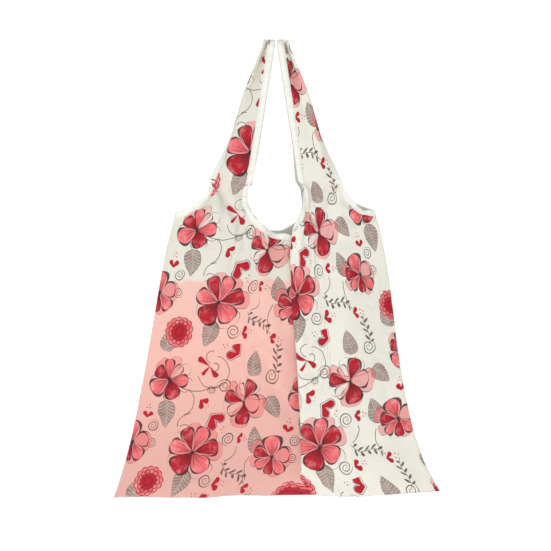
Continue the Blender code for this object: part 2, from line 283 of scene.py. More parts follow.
@dataclass(frozen=True)
class Hang:
    """The way one panel hangs: its outline as seen from the front, its belly and its middle fold."""

    face: Face
    cut: Cut
    foot: float
    left: tuple[float, ...] = (0.2590, 0.2350, 0.2120, 0.1905, 0.1735, 0.1500)
    right: tuple[float, ...] = (0.2590, 0.2270, 0.1985, 0.1890, 0.1690, 0.1480)
    levels: tuple[float, ...] = (0.0, 0.08, 0.20, 0.31, 0.41, 0.50)
    belly: float = 0.024
    fold_low: float = 0.041
    fold_high: float = 0.022
    crease: float = 0.010

    def side_line(self, v: Array, hand: Hand) -> Array:
        """Distance of the side seam from the middle: a quartic through a few widths."""
        widths = self.left if hand is Hand.LEFT else self.right
        return np.polyval(np.polyfit(self.levels, widths, 4), v)

    def fullness(self, v: Array) -> Array:
        """Width seen for each metre of cloth, less where the cloth is gathered."""
        return 0.965 - 0.043 * smooth(0.0, 0.25, v) + 0.028 * smooth(0.42, 0.50, v)

    def depth(self, share: Array, v: Array) -> Array:
        """Distance from the middle plane: a belly that closes at the sides and the bottom."""
        rise = 1 - np.exp(-v / 0.075)
        mouth = 1 - 0.12 * smooth(0.30, 0.50, v)
        power = 2.4 + smooth(0.26, 0.46, v)
        return self.belly * rise * mouth * (1 - np.clip(np.abs(share), 0, 1) ** power)

    def place(self, uv: Array) -> Array:
        """Points of the hung panel.

        At each height the cloth goes across from the left seam, turns back on itself at a crease,
        turns again at the fold's edge and goes on to the right seam. The slope of x along the
        cloth is 1, then -1, then 1, with smooth turns, and y moves by what each turn takes.

        Args:
            uv: Array of (u, v) on the flat cut.

        Returns:
            Array of points, the same shape with 3 coordinates.
        """
        mirror = -1.0 if self.face is Face.BACK else 1.0
        fine_u = np.linspace(-self.cut.half, self.cut.half, 801)
        fine_v = np.linspace(0, self.cut.shoulder + 0.002, 140)
        v = fine_v[:, None]
        sides = [self.side_line(v, Hand.LEFT), self.side_line(v, Hand.RIGHT)]
        near, far = sides if mirror > 0 else sides[::-1]
        c = self.fullness(v)
        hidden = np.maximum(2 * self.cut.half * c - near - far, 0.0)
        edge = mix(self.fold_low, self.fold_high, smooth(0.05, 0.40, v))
        first = (edge + hidden / 2 + near) / c - self.cut.half
        second = self.cut.half - (far - edge) / c
        w = self.crease / 2
        into, back = (smooth(0, 1, (fine_u - bend + w) / (2 * w)) for bend in (first, second))
        slope = 1 - 2 * (into - back)
        step = fine_u[1] - fine_u[0]
        x = -near + c * np.cumsum(slope, axis=1) * step
        share = (fine_u + self.cut.half) / (2 * self.cut.half)
        x = x + (far - x[:, -1:]) * share
        lift = np.cumsum(np.sqrt(np.maximum(0.0, 1 - slope**2)), axis=1) * step * 0.8
        lift = lift - lift[:, -1:] * share
        half = np.where(x < 0, near, far)
        y = self.depth(x / half, v) + lift * smooth(0.0, 0.06, v)
        table = np.stack([x * mirror, y * self.face.value], axis=-1)
        row = np.interp(uv[..., 1], fine_v, np.arange(len(fine_v)))
        col = np.interp(uv[..., 0] * mirror, fine_u, np.arange(len(fine_u)))
        flat = bilinear(table, row, col)
        rise = np.where(flat[..., 0] < 0, 0.003, 0.012) * (flat[..., 0] / 0.26) ** 2
        z = self.foot + uv[..., 1] * 0.998 + rise * (1 - smooth(0, 0.3, uv[..., 1]))
        return np.concatenate([flat, z[..., None]], axis=-1)


@dataclass(frozen=True)
class Settling:
    """Cloth simulation of both panels, sewn at the sides and the bottom and held at the straps."""

    frames: int = 26
    quality: int = 7
    vertex_mass: float = 0.0009
    stretch: float = 70.0
    shear: float = 18.0
    bend: float = 0.035
    damping: float = 8.0
    bend_damping: float = 0.2
    air: float = 2.0
    gravity: float = 1.0
    apart: float = 0.0018
    broad_rounds: int = 160
    ease: float = 0.012
    drift: float = 0.005
    reach: float = 0.014

    def run(
        self, front: Array, back: Array, cut_front: Array, cut_back: Array, held: Array
    ) -> tuple[Array, Array]:
        """Let the sewn panels settle under gravity towards their flat cut's own lengths.

        Args:
            front: Front panel's points, rows x columns x 3, as hung.
            back: Back panel's points, the same shape.
            cut_front: Flat (u, v) of the front panel.
            cut_back: Flat (u, v) of the back panel.
            held: Mask over the top row of the columns that the straps hold.

        Returns:
            The settled front and back points.
        """
        rows, cols = front.shape[:2]
        size = rows * cols
        index = np.arange(size).reshape(rows, cols)
        other = index + size
        other[0], other[:, 0], other[:, -1] = index[0], index[:, 0], index[:, -1]
        used = np.unique(np.concatenate([index.ravel(), other.ravel()]))
        compact = np.full(2 * size, -1)
        compact[used] = np.arange(len(used))
        points = np.concatenate([front.reshape(-1, 3), back.reshape(-1, 3)])[used]
        flat = np.concatenate([cut_front.reshape(-1, 2), cut_back.reshape(-1, 2)])[used]
        flat = np.stack([flat[:, 0], np.zeros(len(flat)), flat[:, 1] * (1 + self.ease)], axis=-1)
        quads = np.concatenate([quad_faces(compact[index]), quad_faces(compact[other])[:, ::-1]])
        mesh = bpy.data.meshes.new("settling")
        mesh.from_pydata(points.tolist(), [], quads.tolist())
        cloth = bpy.data.objects.new("settling", mesh)
        bpy.context.scene.collection.objects.link(cloth)
        cloth.shape_key_add(name="hung")
        key = cloth.shape_key_add(name="cut")
        key.data.foreach_set("co", flat.astype(np.float32).ravel())
        pins = cloth.vertex_groups.new(name="pins")
        pinned = compact[np.concatenate([index[-1][held], other[-1][held]])]
        pins.add(pinned.tolist(), 1.0, "REPLACE")
        modifier = cloth.modifiers.new("Cloth", "CLOTH")
        settings = modifier.settings
        settings.quality = self.quality
        settings.mass = self.vertex_mass
        settings.tension_stiffness = settings.compression_stiffness = self.stretch
        settings.shear_stiffness = self.shear
        settings.bending_stiffness = self.bend
        settings.tension_damping = settings.compression_damping = self.damping
        settings.shear_damping = self.damping
        settings.bending_damping = self.bend_damping
        settings.air_damping = self.air
        settings.vertex_group_mass = "pins"
        settings.rest_shape_key = key
        settings.effector_weights.gravity = self.gravity
        modifier.collision_settings.use_collision = False
        modifier.collision_settings.use_self_collision = True
        modifier.collision_settings.self_distance_min = self.apart
        modifier.collision_settings.collision_quality = 2
        modifier.point_cache.frame_start = 1
        modifier.point_cache.frame_end = self.frames
        scene = bpy.context.scene
        for frame in range(1, self.frames + 1):
            scene.frame_set(frame)
        shape = cloth.evaluated_get(bpy.context.evaluated_depsgraph_get()).to_mesh()
        settled = np.empty(len(points) * 3, np.float32)
        shape.vertices.foreach_get("co", settled)
        scene.frame_set(1)
        bpy.data.objects.remove(cloth, do_unlink=True)
        bpy.data.meshes.remove(mesh)
        move = settled.reshape(-1, 3).astype(float) - points
        length = np.linalg.norm(move, axis=1, keepdims=True)
        LOG.info("cloth moved %.1f mm on average, %.1f mm at most", 1e3 * length.mean(), 1e3 * length.max())
        move = limit(move, self.reach)
        broad = spread(move, quads, self.broad_rounds)
        points = points + limit(broad, self.drift) + move - broad
        return points[compact[index]], points[compact[other]]


@dataclass(frozen=True)
class Strap:
    """One strap from its base at the shoulder line to the top of the handle's loop."""

    cut: Cut
    base_z: float = -0.215
    top_z: float = 0.0035
    radius: float = 0.0150
    inner: tuple[float, float] = (0.0016, 0.0350)
    outer: tuple[float, float] = (0.0146, 0.0980)
    wave: float = 0.0011
    straight_rows: int = 36
    arc_rows: int = 7

    def surface(self, hand: Hand, face: Face, base: Array) -> tuple[Array, Array]:
        """Points and flat (u, v) of the strap.

        The middle of the strap goes straight up from its base and then over a quarter circle. Across
        it, the cloth's direction turns by an angle that curls the outer edge in and pleats the rest,
        as strongly as the strap's width at that height asks for.

        Args:
            hand: Which handle.
            face: Front or back strap.
            base: The panel's points along the strap's base, from its outer to its inner edge.

        Returns:
            Points and (u, v), both as rows from the base up x columns from the outer edge in.
        """
        rise = np.linspace(0, 1, self.straight_rows + 1)
        turn = np.linspace(0, math.pi / 2, self.arc_rows + 1)[1:]
        centre_z = self.top_z - self.radius
        start_y = abs(float(base[len(base) // 2, 1]))
        y = np.concatenate([mix(start_y, self.radius, rise), self.radius * np.cos(turn)])
        z = np.concatenate([mix(self.base_z, centre_z, rise), centre_z + self.radius * np.sin(turn)])
        lean = math.atan2(start_y - self.radius, centre_z - self.base_z)
        angle = np.concatenate([lean * (1 - smooth(0.85, 1.0, rise)), turn])
        t = np.clip(z / self.base_z, 0, 1)
        near = mix(self.inner[0], self.inner[1], t)
        width = mix(self.outer[0], self.outer[1], t) - near
        climb = np.concatenate([[0], np.cumsum(np.hypot(np.diff(y), np.diff(z)))])
        cloth = mix(self.cut.strap_out - self.cut.strap_in, self.cut.strap_top_width, climb / climb[-1])
        across, depth = self.section(t, width / cloth)
        across, depth = across * cloth[:, None], depth * cloth[:, None]
        wave = self.wave * ripple(across * 2.0, climb[:, None], 5 + hand.value, 0.05)
        wave = wave * smooth(0.0, 0.2, climb)[:, None]
        out_y, out_z = np.cos(angle)[:, None], np.sin(angle)[:, None]
        points = np.stack(
            [
                hand.value * (near[:, None] + across),
                face.value * (y[:, None] + (depth + wave) * out_y),
                z[:, None] + (depth + wave) * out_z,
            ],
            axis=-1,
        )[:, ::-1]
        fade = (1 - smooth(0.0, 0.30, rise))[:, None, None]
        points[: len(rise)] += (base - points[0])[None] * fade
        middle = (self.cut.strap_out + self.cut.strap_in) / 2
        q = np.linspace(0.5, -0.5, points.shape[1])
        u = hand.value * (middle + q * cloth[:, None])
        v = np.broadcast_to((self.cut.shoulder + climb)[:, None], u.shape)
        return points, np.stack([u, v], axis=-1)

    def section(self, t: Array, ratio: Array) -> tuple[Array, Array]:
        """The strap's cross-sections, for a strap of unit width.

        Args:
            t: Place of each row, 1 at the base and 0 at the top.
            ratio: Width seen for each metre of cloth, at each row.

        Returns:
            Distance across and depth at each row x column, from the inner edge out.
        """
        columns = self.cut.base_cells
        q = np.linspace(0, 1, 4 * columns + 1)
        r = np.clip((q - 0.2) / 0.8, 0, 1)
        curl = smooth(0.25, 1.0, r) * mix(0.45, 1.0, smooth(0.0, 0.5, t))[:, None]
        pleat = np.sin(2 * math.pi * 1.5 * r) * mix(1.0, 0.22, smooth(0.05, 0.6, t))[:, None]
        bend = -(curl + pleat)
        strength = np.linspace(0, 4.0, 161)
        seen = np.cos(strength[:, None, None] * bend).mean(axis=2)
        chosen = strength[np.argmax(seen <= ratio, axis=0)]
        angle = chosen[:, None] * bend
        steps = np.stack([np.cos(angle[:, 1:]), np.sin(angle[:, 1:])])
        across, depth = np.pad(np.cumsum(steps, axis=2), ((0, 0), (0, 0), (1, 0))) * (q[1] - q[0])
        return across[:, ::4], depth[:, ::4]


class Half:
    """Half of one hung panel with its strap, as surfaces that can be read at any flat (u, v)."""

    def __init__(
        self, hand: Hand, face: Face, cut: Cut, body: Array, strap: Strap, split: int, fine: int = 2
    ) -> None:
        """Keep one half of the settled panel and add its strap.

        Args:
            hand: Which half.
            face: Which panel.
            cut: The panel's flat cut.
            body: The whole settled panel, rows x columns x 3.
            strap: The strap's shape.
            split: Column where the two halves part, inside the middle fold.
            fine: Number of new cells for each cell of the settled grid.
        """
        self.hand, self.face, self.cut = hand, face, cut
        flat = cut.body()
        base = cut.base_slice(hand)
        ordered = body[-1, base] if hand is Hand.LEFT else body[-1, base][::-1]
        points, uv = strap.surface(hand, face, ordered)
        if hand is Hand.RIGHT:
            points, uv = points[:, ::-1], uv[:, ::-1]
        both = refine(np.concatenate([body, flat], axis=-1), fine)
        keep = slice(0, split * fine + 1) if hand is Hand.LEFT else slice(split * fine, None)
        self.body, self.body_uv = both[:, keep, :3], both[:, keep, 3:]
        upper = refine(np.concatenate([points, uv], axis=-1), fine)
        first = base.start * fine - (keep.start or 0)
        self.base = slice(first, first + cut.base_cells * fine + 1)
        upper[0] = np.concatenate([self.body[-1, self.base], self.body_uv[-1, self.base]], axis=-1)
        self.strap, self.strap_uv = upper[..., :3], upper[..., 3:]
        rows, cols = self.body.shape[:2]
        body_index = np.arange(rows * cols).reshape(rows, cols)
        above = len(self.strap) - 1
        more = np.arange(above * self.strap.shape[1]).reshape(above, -1) + rows * cols
        strap_index = np.concatenate([body_index[-1:, self.base], more])
        self.points = np.concatenate([self.body.reshape(-1, 3), self.strap[1:].reshape(-1, 3)])
        self.uv = np.concatenate([self.body_uv.reshape(-1, 2), self.strap_uv[1:].reshape(-1, 2)])
        self.quads = np.concatenate([quad_faces(body_index), quad_faces(strap_index)])
        if face is Face.BACK:
            self.quads = self.quads[:, ::-1]
        self.normals = point_normals(self.points, self.quads)
        self.body_normals = self.normals[body_index]
        self.strap_normals = self.normals[strap_index]

    def read(self, uv: Array) -> tuple[Array, Array]:
        """Point and normal of the surface at each flat (u, v), by straight blends on its grids.

        Args:
            uv: Array of flat places.

        Returns:
            Points and unit normals.
        """
        u, v = uv[..., 0], uv[..., 1]
        columns = self.body_uv[0, :, 0]
        col = np.interp(u, columns, np.arange(len(columns)))
        row = v / self.cut.top(np.clip(u, columns[0], columns[-1])) * (len(self.body) - 1)
        low = bilinear(np.concatenate([self.body, self.body_normals], axis=-1), row, col)
        heights = self.strap_uv[:, 0, 1]
        row = np.interp(v, heights, np.arange(len(heights)))
        edge = [np.interp(v, heights, self.strap_uv[:, k, 0]) for k in (0, -1)]
        col = (u - edge[0]) / (edge[1] - edge[0]) * (self.strap.shape[1] - 1)
        high = bilinear(np.concatenate([self.strap, self.strap_normals], axis=-1), row, col)
        both = np.where((v > self.cut.shoulder)[..., None], high, low)
        return both[..., :3], unit(both[..., 3:])


def point_normals(points: Array, quads: Array) -> Array:
    """Unit normals of a mesh's points: the sum of the crossed diagonals of the quads around each."""
    a, b, c, d = (points[quads[:, k]] for k in range(4))
    face = np.cross(c - a, d - b)
    places, count = quads.ravel(), len(points)
    total = [np.bincount(places, np.repeat(face[:, k], 4), count) for k in range(3)]
    return unit(np.stack(total, axis=-1))


def outline_edges(quads: Array) -> Array:
    """The directed edges that only one quad has: the outline of an open surface."""
    edges = np.concatenate([quads[:, [0, 1]], quads[:, [1, 2]], quads[:, [2, 3]], quads[:, [3, 0]]])
    key = np.sort(edges, axis=1)
    _, first, count = np.unique(key, axis=0, return_index=True, return_counts=True)
    return edges[first[count == 1]]


# ---------------------------------------------------------------------------------------------
# Meshes


def new_piece(
    name: str,
    points: Array,
    quads: Array,
    uv: Array,
    materials: Sequence[Material],
    slots: Array | None = None,
    sharp: Array | None = None,
) -> Piece:
    """Link a smooth mesh object with one UV map, whose values are metres on the flat cloth.

    Args:
        name: Name of the piece.
        points: Vertex positions.
        quads: Vertex numbers of each quad, counter-clockwise from outside.
        uv: (u, v) of each vertex.
        materials: Materials for its slots.
        slots: Material slot of each quad, all 0 if left out.
        sharp: Pairs of vertex numbers whose edges stay sharp.

    Returns:
        The new object, at the origin.
    """
    mesh = bpy.data.meshes.new(name)
    mesh.from_pydata(points.tolist(), [], quads.tolist())
    layer = mesh.uv_layers.new(name="Cut")
    layer.data.foreach_set("uv", uv[quads.ravel()].astype(np.float32).ravel())
    for material in materials:
        mesh.materials.append(material)
    if slots is not None:
        mesh.polygons.foreach_set("material_index", slots.astype(np.int32))
    mesh.shade_smooth()
    if sharp is not None and len(sharp):
        ends = np.empty(2 * len(mesh.edges), np.int32)
        mesh.edges.foreach_get("vertices", ends)
        size = len(points)
        keys = np.sort(ends.reshape(-1, 2), axis=1) @ np.array([size, 1])
        wanted = np.sort(sharp, axis=1) @ np.array([size, 1])
        mesh.edges.foreach_set("use_edge_sharp", np.isin(keys, wanted))
    mesh.validate()
    mesh.update()
    piece = bpy.data.objects.new(name, mesh)
    bpy.context.scene.collection.objects.link(piece)
    LOG.info("%s: %d faces", name, len(mesh.polygons))
    return piece


def add_uv(piece: Piece, name: str, uv: Array) -> None:
    """Give a piece another UV map, from the (u, v) of each vertex."""
    mesh = piece.data
    ends = np.empty(len(mesh.loops), np.int32)
    mesh.loops.foreach_get("vertex_index", ends)
    mesh.uv_layers.new(name=name).data.foreach_set("uv", uv[ends].astype(np.float32).ravel())


def shell(
    name: str,
    points: Array,
    quads: Array,
    uv: Array,
    thickness: float,
    outer: Material,
    inner: Material,
) -> Piece:
    """Closed cloth of even thickness: the surface moved out and in along its normals, with a rim."""
    normals = point_normals(points, quads)
    size = len(points)
    rim = outline_edges(quads)
    sides = np.stack([rim[:, 1], rim[:, 0], rim[:, 0] + size, rim[:, 1] + size], axis=-1)
    faces = np.concatenate([quads, quads[:, ::-1] + size, sides])
    slots = np.concatenate([np.zeros(len(quads)), np.ones(len(quads)), np.zeros(len(sides))])
    both = np.concatenate([points + normals * thickness / 2, points - normals * thickness / 2])
    return new_piece(
        name, both, faces, np.concatenate([uv, uv]), (outer, inner), slots, np.concatenate([rim, rim + size])
    )


def grid_cloth(
    name: str, grid: tuple[Array, Array], thickness: float, outer: Material, inner: Material
) -> Piece:
    """Closed cloth from a grid of points and a grid of flat (u, v)."""
    points, uv = grid
    quads = quad_faces(np.arange(points[..., 0].size).reshape(points.shape[:2]))
    return shell(name, points.reshape(-1, 3), quads, uv.reshape(-1, 2), thickness, outer, inner)


def tube(name: str, rings: Array, uv: Array, material: Material) -> Piece:
    """Closed mesh from rings of points along a path, joined ring to ring, with flat ends.

    Args:
        name: Name of the piece.
        rings: Array of stations x points round x 3.
        uv: (u, v) of each of those points.
        material: Its material.

    Returns:
        The new object.
    """
    stations, around = rings.shape[:2]
    index = np.arange(stations * around).reshape(stations, around)
    half = around // 2
    low, high = (np.stack([end[:half], end[::-1][:half]]) for end in (index[0], index[-1]))
    sides = quad_faces(np.concatenate([index, index[:, :1]], axis=1))
    quads = np.concatenate([sides, quad_faces(low)[:, ::-1], quad_faces(high)])
    return face_outwards(new_piece(name, rings.reshape(-1, 3), quads, uv.reshape(-1, 2), (material,)))


def face_outwards(piece: Piece) -> Piece:
    """Turn the faces of a closed mesh outwards."""
    bm = bmesh.new()
    bm.from_mesh(piece.data)
    bmesh.ops.recalc_face_normals(bm, faces=bm.faces)
    bm.to_mesh(piece.data)
    bm.free()
    return piece


# ---------------------------------------------------------------------------------------------
# Shader graphs


def linear(red: int, green: int, blue: int) -> Colour:
    """A paint chip's 0-255 colour as a linear colour with full alpha."""
    chips = np.array([red, green, blue]) / 255
    light = np.where(chips <= 0.04045, chips / 12.92, ((chips + 0.055) / 1.055) ** 2.4)
    return (*light.round(5).tolist(), 1.0)


def darker(colour: Colour, share: float) -> Colour:
    """A linear colour with its red, green and blue brought down to a share."""
    return (*(channel * share for channel in colour[:3]), 1.0)


@dataclass(frozen=True)
class Wire:
    """A value inside a shader graph; arithmetic on it adds Math nodes."""

    graph: Graph
    socket: bpy.types.NodeSocket

    def __add__(self, other: Wire | float) -> Wire:
        """Sum."""
        return self.graph.math("ADD", self, other)

    def __sub__(self, other: Wire | float) -> Wire:
        """Difference."""
        return self.graph.math("SUBTRACT", self, other)

    def __rsub__(self, other: float) -> Wire:
        """Difference, from a number."""
        return self.graph.math("SUBTRACT", other, self)

    def __mul__(self, other: Wire | float) -> Wire:
        """Product."""
        return self.graph.math("MULTIPLY", self, other)

    def __truediv__(self, other: Wire | float) -> Wire:
        """Quotient."""
        return self.graph.math("DIVIDE", self, other)

    def __pow__(self, other: Wire | float) -> Wire:
        """Power."""
        return self.graph.math("POWER", self, other)


class Graph:
    """Adds nodes to one shader tree, in the order in which they are worked out."""

    def __init__(self, tree: Tree) -> None:
        """Keep the tree."""
        self.tree = tree

    def add(
        self, kind: str, values: dict[int | str, object] | None = None, **settings: object
    ) -> bpy.types.Node:
        """Add a node, set it up, and set or link its inputs.

        Args:
            kind: Node type without the ShaderNode prefix.
            values: Inputs by number or name: a Wire is linked, anything else is set.
            settings: Properties of the node.

        Returns:
            The node.
        """
        node = self.tree.nodes.new(f"ShaderNode{kind}")
        for key, value in settings.items():
            setattr(node, key, value)
        for key, value in (values or {}).items():
            if isinstance(value, Wire):
                self.tree.links.new(value.socket, node.inputs[key])
            else:
                node.inputs[key].default_value = value
        return node

    def wire(self, node: bpy.types.Node, output: int | str = 0) -> Wire:
        """One output of a node."""
        return Wire(self, node.outputs[output])

    def math(self, operation: str, *values: Wire | float, clamp: bool = False) -> Wire:
        """Result of a Math node."""
        return self.wire(self.add("Math", dict(enumerate(values)), operation=operation, use_clamp=clamp))

    def vector(self, operation: str, *values: object, output: str = "Vector") -> Wire:
        """Result of a Vector Math node."""
        return self.wire(self.add("VectorMath", dict(enumerate(values)), operation=operation), output)

    def step(
        self, low: Wire | float, high: Wire | float, value: Wire, start: float = 0.0, end: float = 1.0
    ) -> Wire:
        """Value eased from start to end as it goes from low to high."""
        values = {0: value, 1: low, 2: high, 3: start, 4: end}
        return self.wire(self.add("MapRange", values, interpolation_type="SMOOTHSTEP"))

    def paint(self, under: object, over: object, mask: Wire | float, blend: str = "MIX") -> Wire:
        """Colour over another where the mask is 1."""
        values = {0: mask, 6: under, 7: over}
        return self.wire(self.add("Mix", values, data_type="RGBA", blend_type=blend), 2)

    def choose(self, first: Wire, second: Wire, mask: Wire) -> Wire:
        """Vector that goes from the first to the second as the mask goes from 0 to 1."""
        return self.wire(self.add("Mix", {0: mask, 4: first, 5: second}, data_type="VECTOR"), 1)

    def split(self, vector: Wire) -> tuple[Wire, Wire, Wire]:
        """The three parts of a vector."""
        node = self.add("SeparateXYZ", {0: vector})
        return self.wire(node, 0), self.wire(node, 1), self.wire(node, 2)

    def join(self, x: Wire | float, y: Wire | float, z: Wire | float = 0.0) -> Wire:
        """Vector from three parts."""
        return self.wire(self.add("CombineXYZ", {0: x, 1: y, 2: z}))

    def noise(self, place: Wire, scale: float, detail: float = 2.0, output: str = "Fac") -> Wire:
        """Noise, 0 to 1, with its features about 1/scale across."""
        return self.wire(self.add("TexNoise", {"Vector": place, "Scale": scale, "Detail": detail}), output)

    def turned(self, vector: Wire, angle: Wire | float) -> Wire:
        """Vector turned about z."""
        return self.wire(self.add("VectorRotate", {"Vector": vector, "Angle": angle}, rotation_type="Z_AXIS"))

    def group(self, tree: Tree, values: dict[str, object]) -> bpy.types.Node:
        """A node group placed in this tree, with its inputs set or linked by name."""
        node = self.tree.nodes.new("ShaderNodeGroup")
        node.node_tree = tree
        for key, value in values.items():
            if isinstance(value, Wire):
                self.tree.links.new(value.socket, node.inputs[key])
            else:
                node.inputs[key].default_value = value
        return node


class Group(Graph):
    """A node group with named inputs and outputs."""

    def __init__(self, name: str, inputs: dict[str, str], outputs: dict[str, str]) -> None:
        """Make the group.

        Args:
            name: Name of the group.
            inputs: Socket kind (Float, Vector or Color) of each input.
            outputs: Socket kind of each output.
        """
        super().__init__(bpy.data.node_groups.new(name, "ShaderNodeTree"))
        for key, kind in inputs.items():
            self.tree.interface.new_socket(key, in_out="INPUT", socket_type=f"NodeSocket{kind}")
        for key, kind in outputs.items():
            self.tree.interface.new_socket(key, in_out="OUTPUT", socket_type=f"NodeSocket{kind}")
        self.source = self.tree.nodes.new("NodeGroupInput")
        self.sink = self.tree.nodes.new("NodeGroupOutput")

    def given(self, name: str) -> Wire:
        """One of the group's inputs."""
        return Wire(self, self.source.outputs[name])

    def give(self, name: str, wire: Wire) -> None:
        """Set one of the group's outputs."""
        self.tree.links.new(wire.socket, self.sink.inputs[name])


# ---------------------------------------------------------------------------------------------
# The print


@dataclass(frozen=True)
class Spot:
    """Where one motif is printed in the repeat: place in mm, size in mm and turn in degrees."""

    x: float
    y: float
    size: float
    turn: float = 0.0

    def code(self) -> tuple[float, float, float]:
        """Minus the place, and in z ten times the size plus the turn in radians."""
        return (-self.x, -self.y, 10.0 * self.size + math.radians(self.turn % 360))


@dataclass(frozen=True)
class Inks:
    """The print's colours."""

    crimson: Colour = linear(184, 6, 34)
    deep: Colour = linear(104, 4, 18)
    coral: Colour = linear(236, 104, 108)
    rose: Colour = linear(248, 168, 168)
    line: Colour = linear(46, 10, 14)
    hair: Colour = linear(90, 64, 58)
    leaf: Colour = linear(156, 132, 122)
    leaf_dark: Colour = linear(98, 74, 68)
    vein: Colour = linear(232, 222, 208)


@dataclass(frozen=True)
class FloralPrint:
    """A repeating drawn print: loose flowers, leaves, rosettes, hearts, curls and sprigs."""

    tile: tuple[float, float] = (246.0, 235.0)
    inks: Inks = field(default_factory=Inks)
    flowers: tuple[Spot, ...] = (
        Spot(-150, 51, 41, -86),
        Spot(-213, 159, 34, -105),
        Spot(-78, 134, 37, -42),
        Spot(-9, 57, 32, 60),
    )
    leaves: tuple[Spot, ...] = (
        Spot(-209, 106, 44, -82),
        Spot(-158, 1, 44, -100),
        Spot(-24, 132, 38, -50),
        Spot(-42, 80, 42, 108),
        Spot(-66, 196, 40, 96),
        Spot(-224, 222, 40, 80),
    )
    lobes: tuple[Spot, ...] = (
        Spot(-130, 110, 17, -42),
        Spot(-104, 209, 16, 150),
        Spot(-239, 99, 10, 88),
        Spot(-153, 133, 12, -38),
        Spot(-80, 80, 10, -8),
        Spot(-103, 6, 12, 8),
        Spot(-46, 3, 10, -5),
    )
    wings: tuple[Spot, ...] = (Spot(-148, 187, 22, 154), Spot(-147, 186, 17, 232), Spot(-146, 186, 19, 314))
    curls: tuple[Spot, ...] = (
        Spot(-119, 159, 11, 0),
        Spot(-96, 78, 11, 120),
        Spot(-118, 10, 11, 200),
        Spot(-33, 180, 12, 260),
        Spot(-137, 150, 6, 90),
        Spot(-226, 86, 9, 300),
        Spot(-222, 60, 8, 180),
    )
    rosette: Spot = Spot(-210, -1, 24)
    sprigs: tuple[Spot, ...] = (Spot(-72, 24, 31, -28), Spot(-28, 208, 25, 78))
    vines: tuple[tuple[float, float, float, float, float], ...] = (
        (-140, 178, 25, -160, 80),
        (-146, 201, 9, 70, 265),
        (-139, 186, 7, -95, 100),
        (-168, 214, 68, -112, -48),
        (-184, 128, 20, -70, 75),
        (-164, 92, 20, 100, 190),
        (-172, 84, 9, -90, 150),
        (-61, 196, 56, -118, -64),
        (-98, 62, 20, -80, 10),
        (-20, 36, 34, 150, 215),
    )

    def build(self) -> Tree:
        """Make the group: place on the print in mm and ground colour in, printed colour out.

        Each kind of motif is a group of its own that draws over the colour it is given.
        """
        g = Group("floral_print", {"Place": "Vector", "Ground": "Color"}, {"Colour": "Color"})
        place = g.given("Place")
        wobble = g.vector("SUBTRACT", g.noise(place, 0.045, 1.0, "Color"), (0.5, 0.5, 0.5))
        place = g.vector("ADD", place, g.vector("MULTIPLY", wobble, (5.0, 5.0, 0.0)))
        wash = g.noise(place, 0.09, 3.0)
        colour = g.given("Ground")
        drawings = (
            ("vines", self.draw_vines),
            ("curls", self.draw_curls),
            ("sprigs", self.draw_sprigs),
            ("leaves", self.draw_leaves),
            ("flowers", self.draw_flowers),
            ("rosettes", self.draw_rosette),
            ("hearts", self.draw_lobes),
        )
        for name, draw in drawings:
            inputs = {"Place": "Vector", "Under": "Color", "Wash": "Float"}
            part = Group(f"print_{name}", inputs, {"Colour": "Color"})
            part.give("Colour", draw(part, part.given("Place"), part.given("Under"), part.given("Wash")))
            colour = g.wire(g.group(part.tree, {"Place": place, "Under": colour, "Wash": wash}))
        g.give("Colour", colour)
        return g.tree

    def wrapped(self, g: Graph, vector: Wire) -> Wire:
        """Vector brought into one repeat about the origin; z is left alone."""
        w, h = self.tile
        return g.vector("WRAP", vector, (w / 2, h / 2, 9000.0), (-w / 2, -h / 2, -9000.0))

    def nearest(self, g: Graph, place: Wire, spots: Sequence[Spot]) -> tuple[Wire, Wire, Wire]:
        """Local place about the nearest of several spots.

        The distance to each spot is taken in one repeat and the smallest wins; z carries the
        spot's size and turn, which are unpacked at the end.

        Returns:
            Local place in mm turned to the motif's axes, its size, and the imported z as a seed.
        """
        best, reach = None, None
        for spot in spots:
            local = self.wrapped(g, g.vector("ADD", place, spot.code()))
            away = g.vector("LENGTH", g.vector("MULTIPLY", local, (1.0, 1.0, 0.0)), output="Value")
            if best is None:
                best, reach = local, away
                continue
            closer = g.math("LESS_THAN", away, reach)
            best, reach = g.choose(best, local, closer), g.math("MINIMUM", away, reach)
        seed = g.split(best)[2]
        size = g.math("FLOOR", seed * 0.1)
        local = g.turned(g.vector("MULTIPLY", best, (1.0, 1.0, 0.0)), size * 10.0 - seed)
        return local, size, seed

    def edge(self, g: Graph, distance: Wire, width: Wire | float, soft: float = 0.25) -> Wire:
        """1 on a line of a width about distance 0, in mm."""
        away = g.math("ABSOLUTE", distance)
        if isinstance(width, Wire):
            return g.step(width + soft, width - soft, away)
        return g.step(width + soft, max(width - soft, 0.0), away)

    def draw_vines(self, g: Graph, place: Wire, colour: Wire, _wash: Wire) -> Wire:
        """Thin stems: rings of a few radii, each kept between two angles."""
        mask = None
        for x, y, radius, start, end in self.vines:
            local = self.wrapped(g, g.vector("ADD", place, (-x, -y, 0.0)))
            away = g.vector("LENGTH", local, output="Value") - radius
            middle = math.radians((start + end) / 2)
            toward = g.vector("DOT_PRODUCT", local, (math.cos(middle), math.sin(middle), 0.0), output="Value")
            inside = g.math("GREATER_THAN", toward, radius * math.cos(math.radians((end - start) / 2)))
            ring = self.edge(g, away, 0.6) * inside
            mask = ring if mask is None else g.math("MAXIMUM", mask, ring)
        return g.paint(colour, self.inks.hair, mask * 0.9)

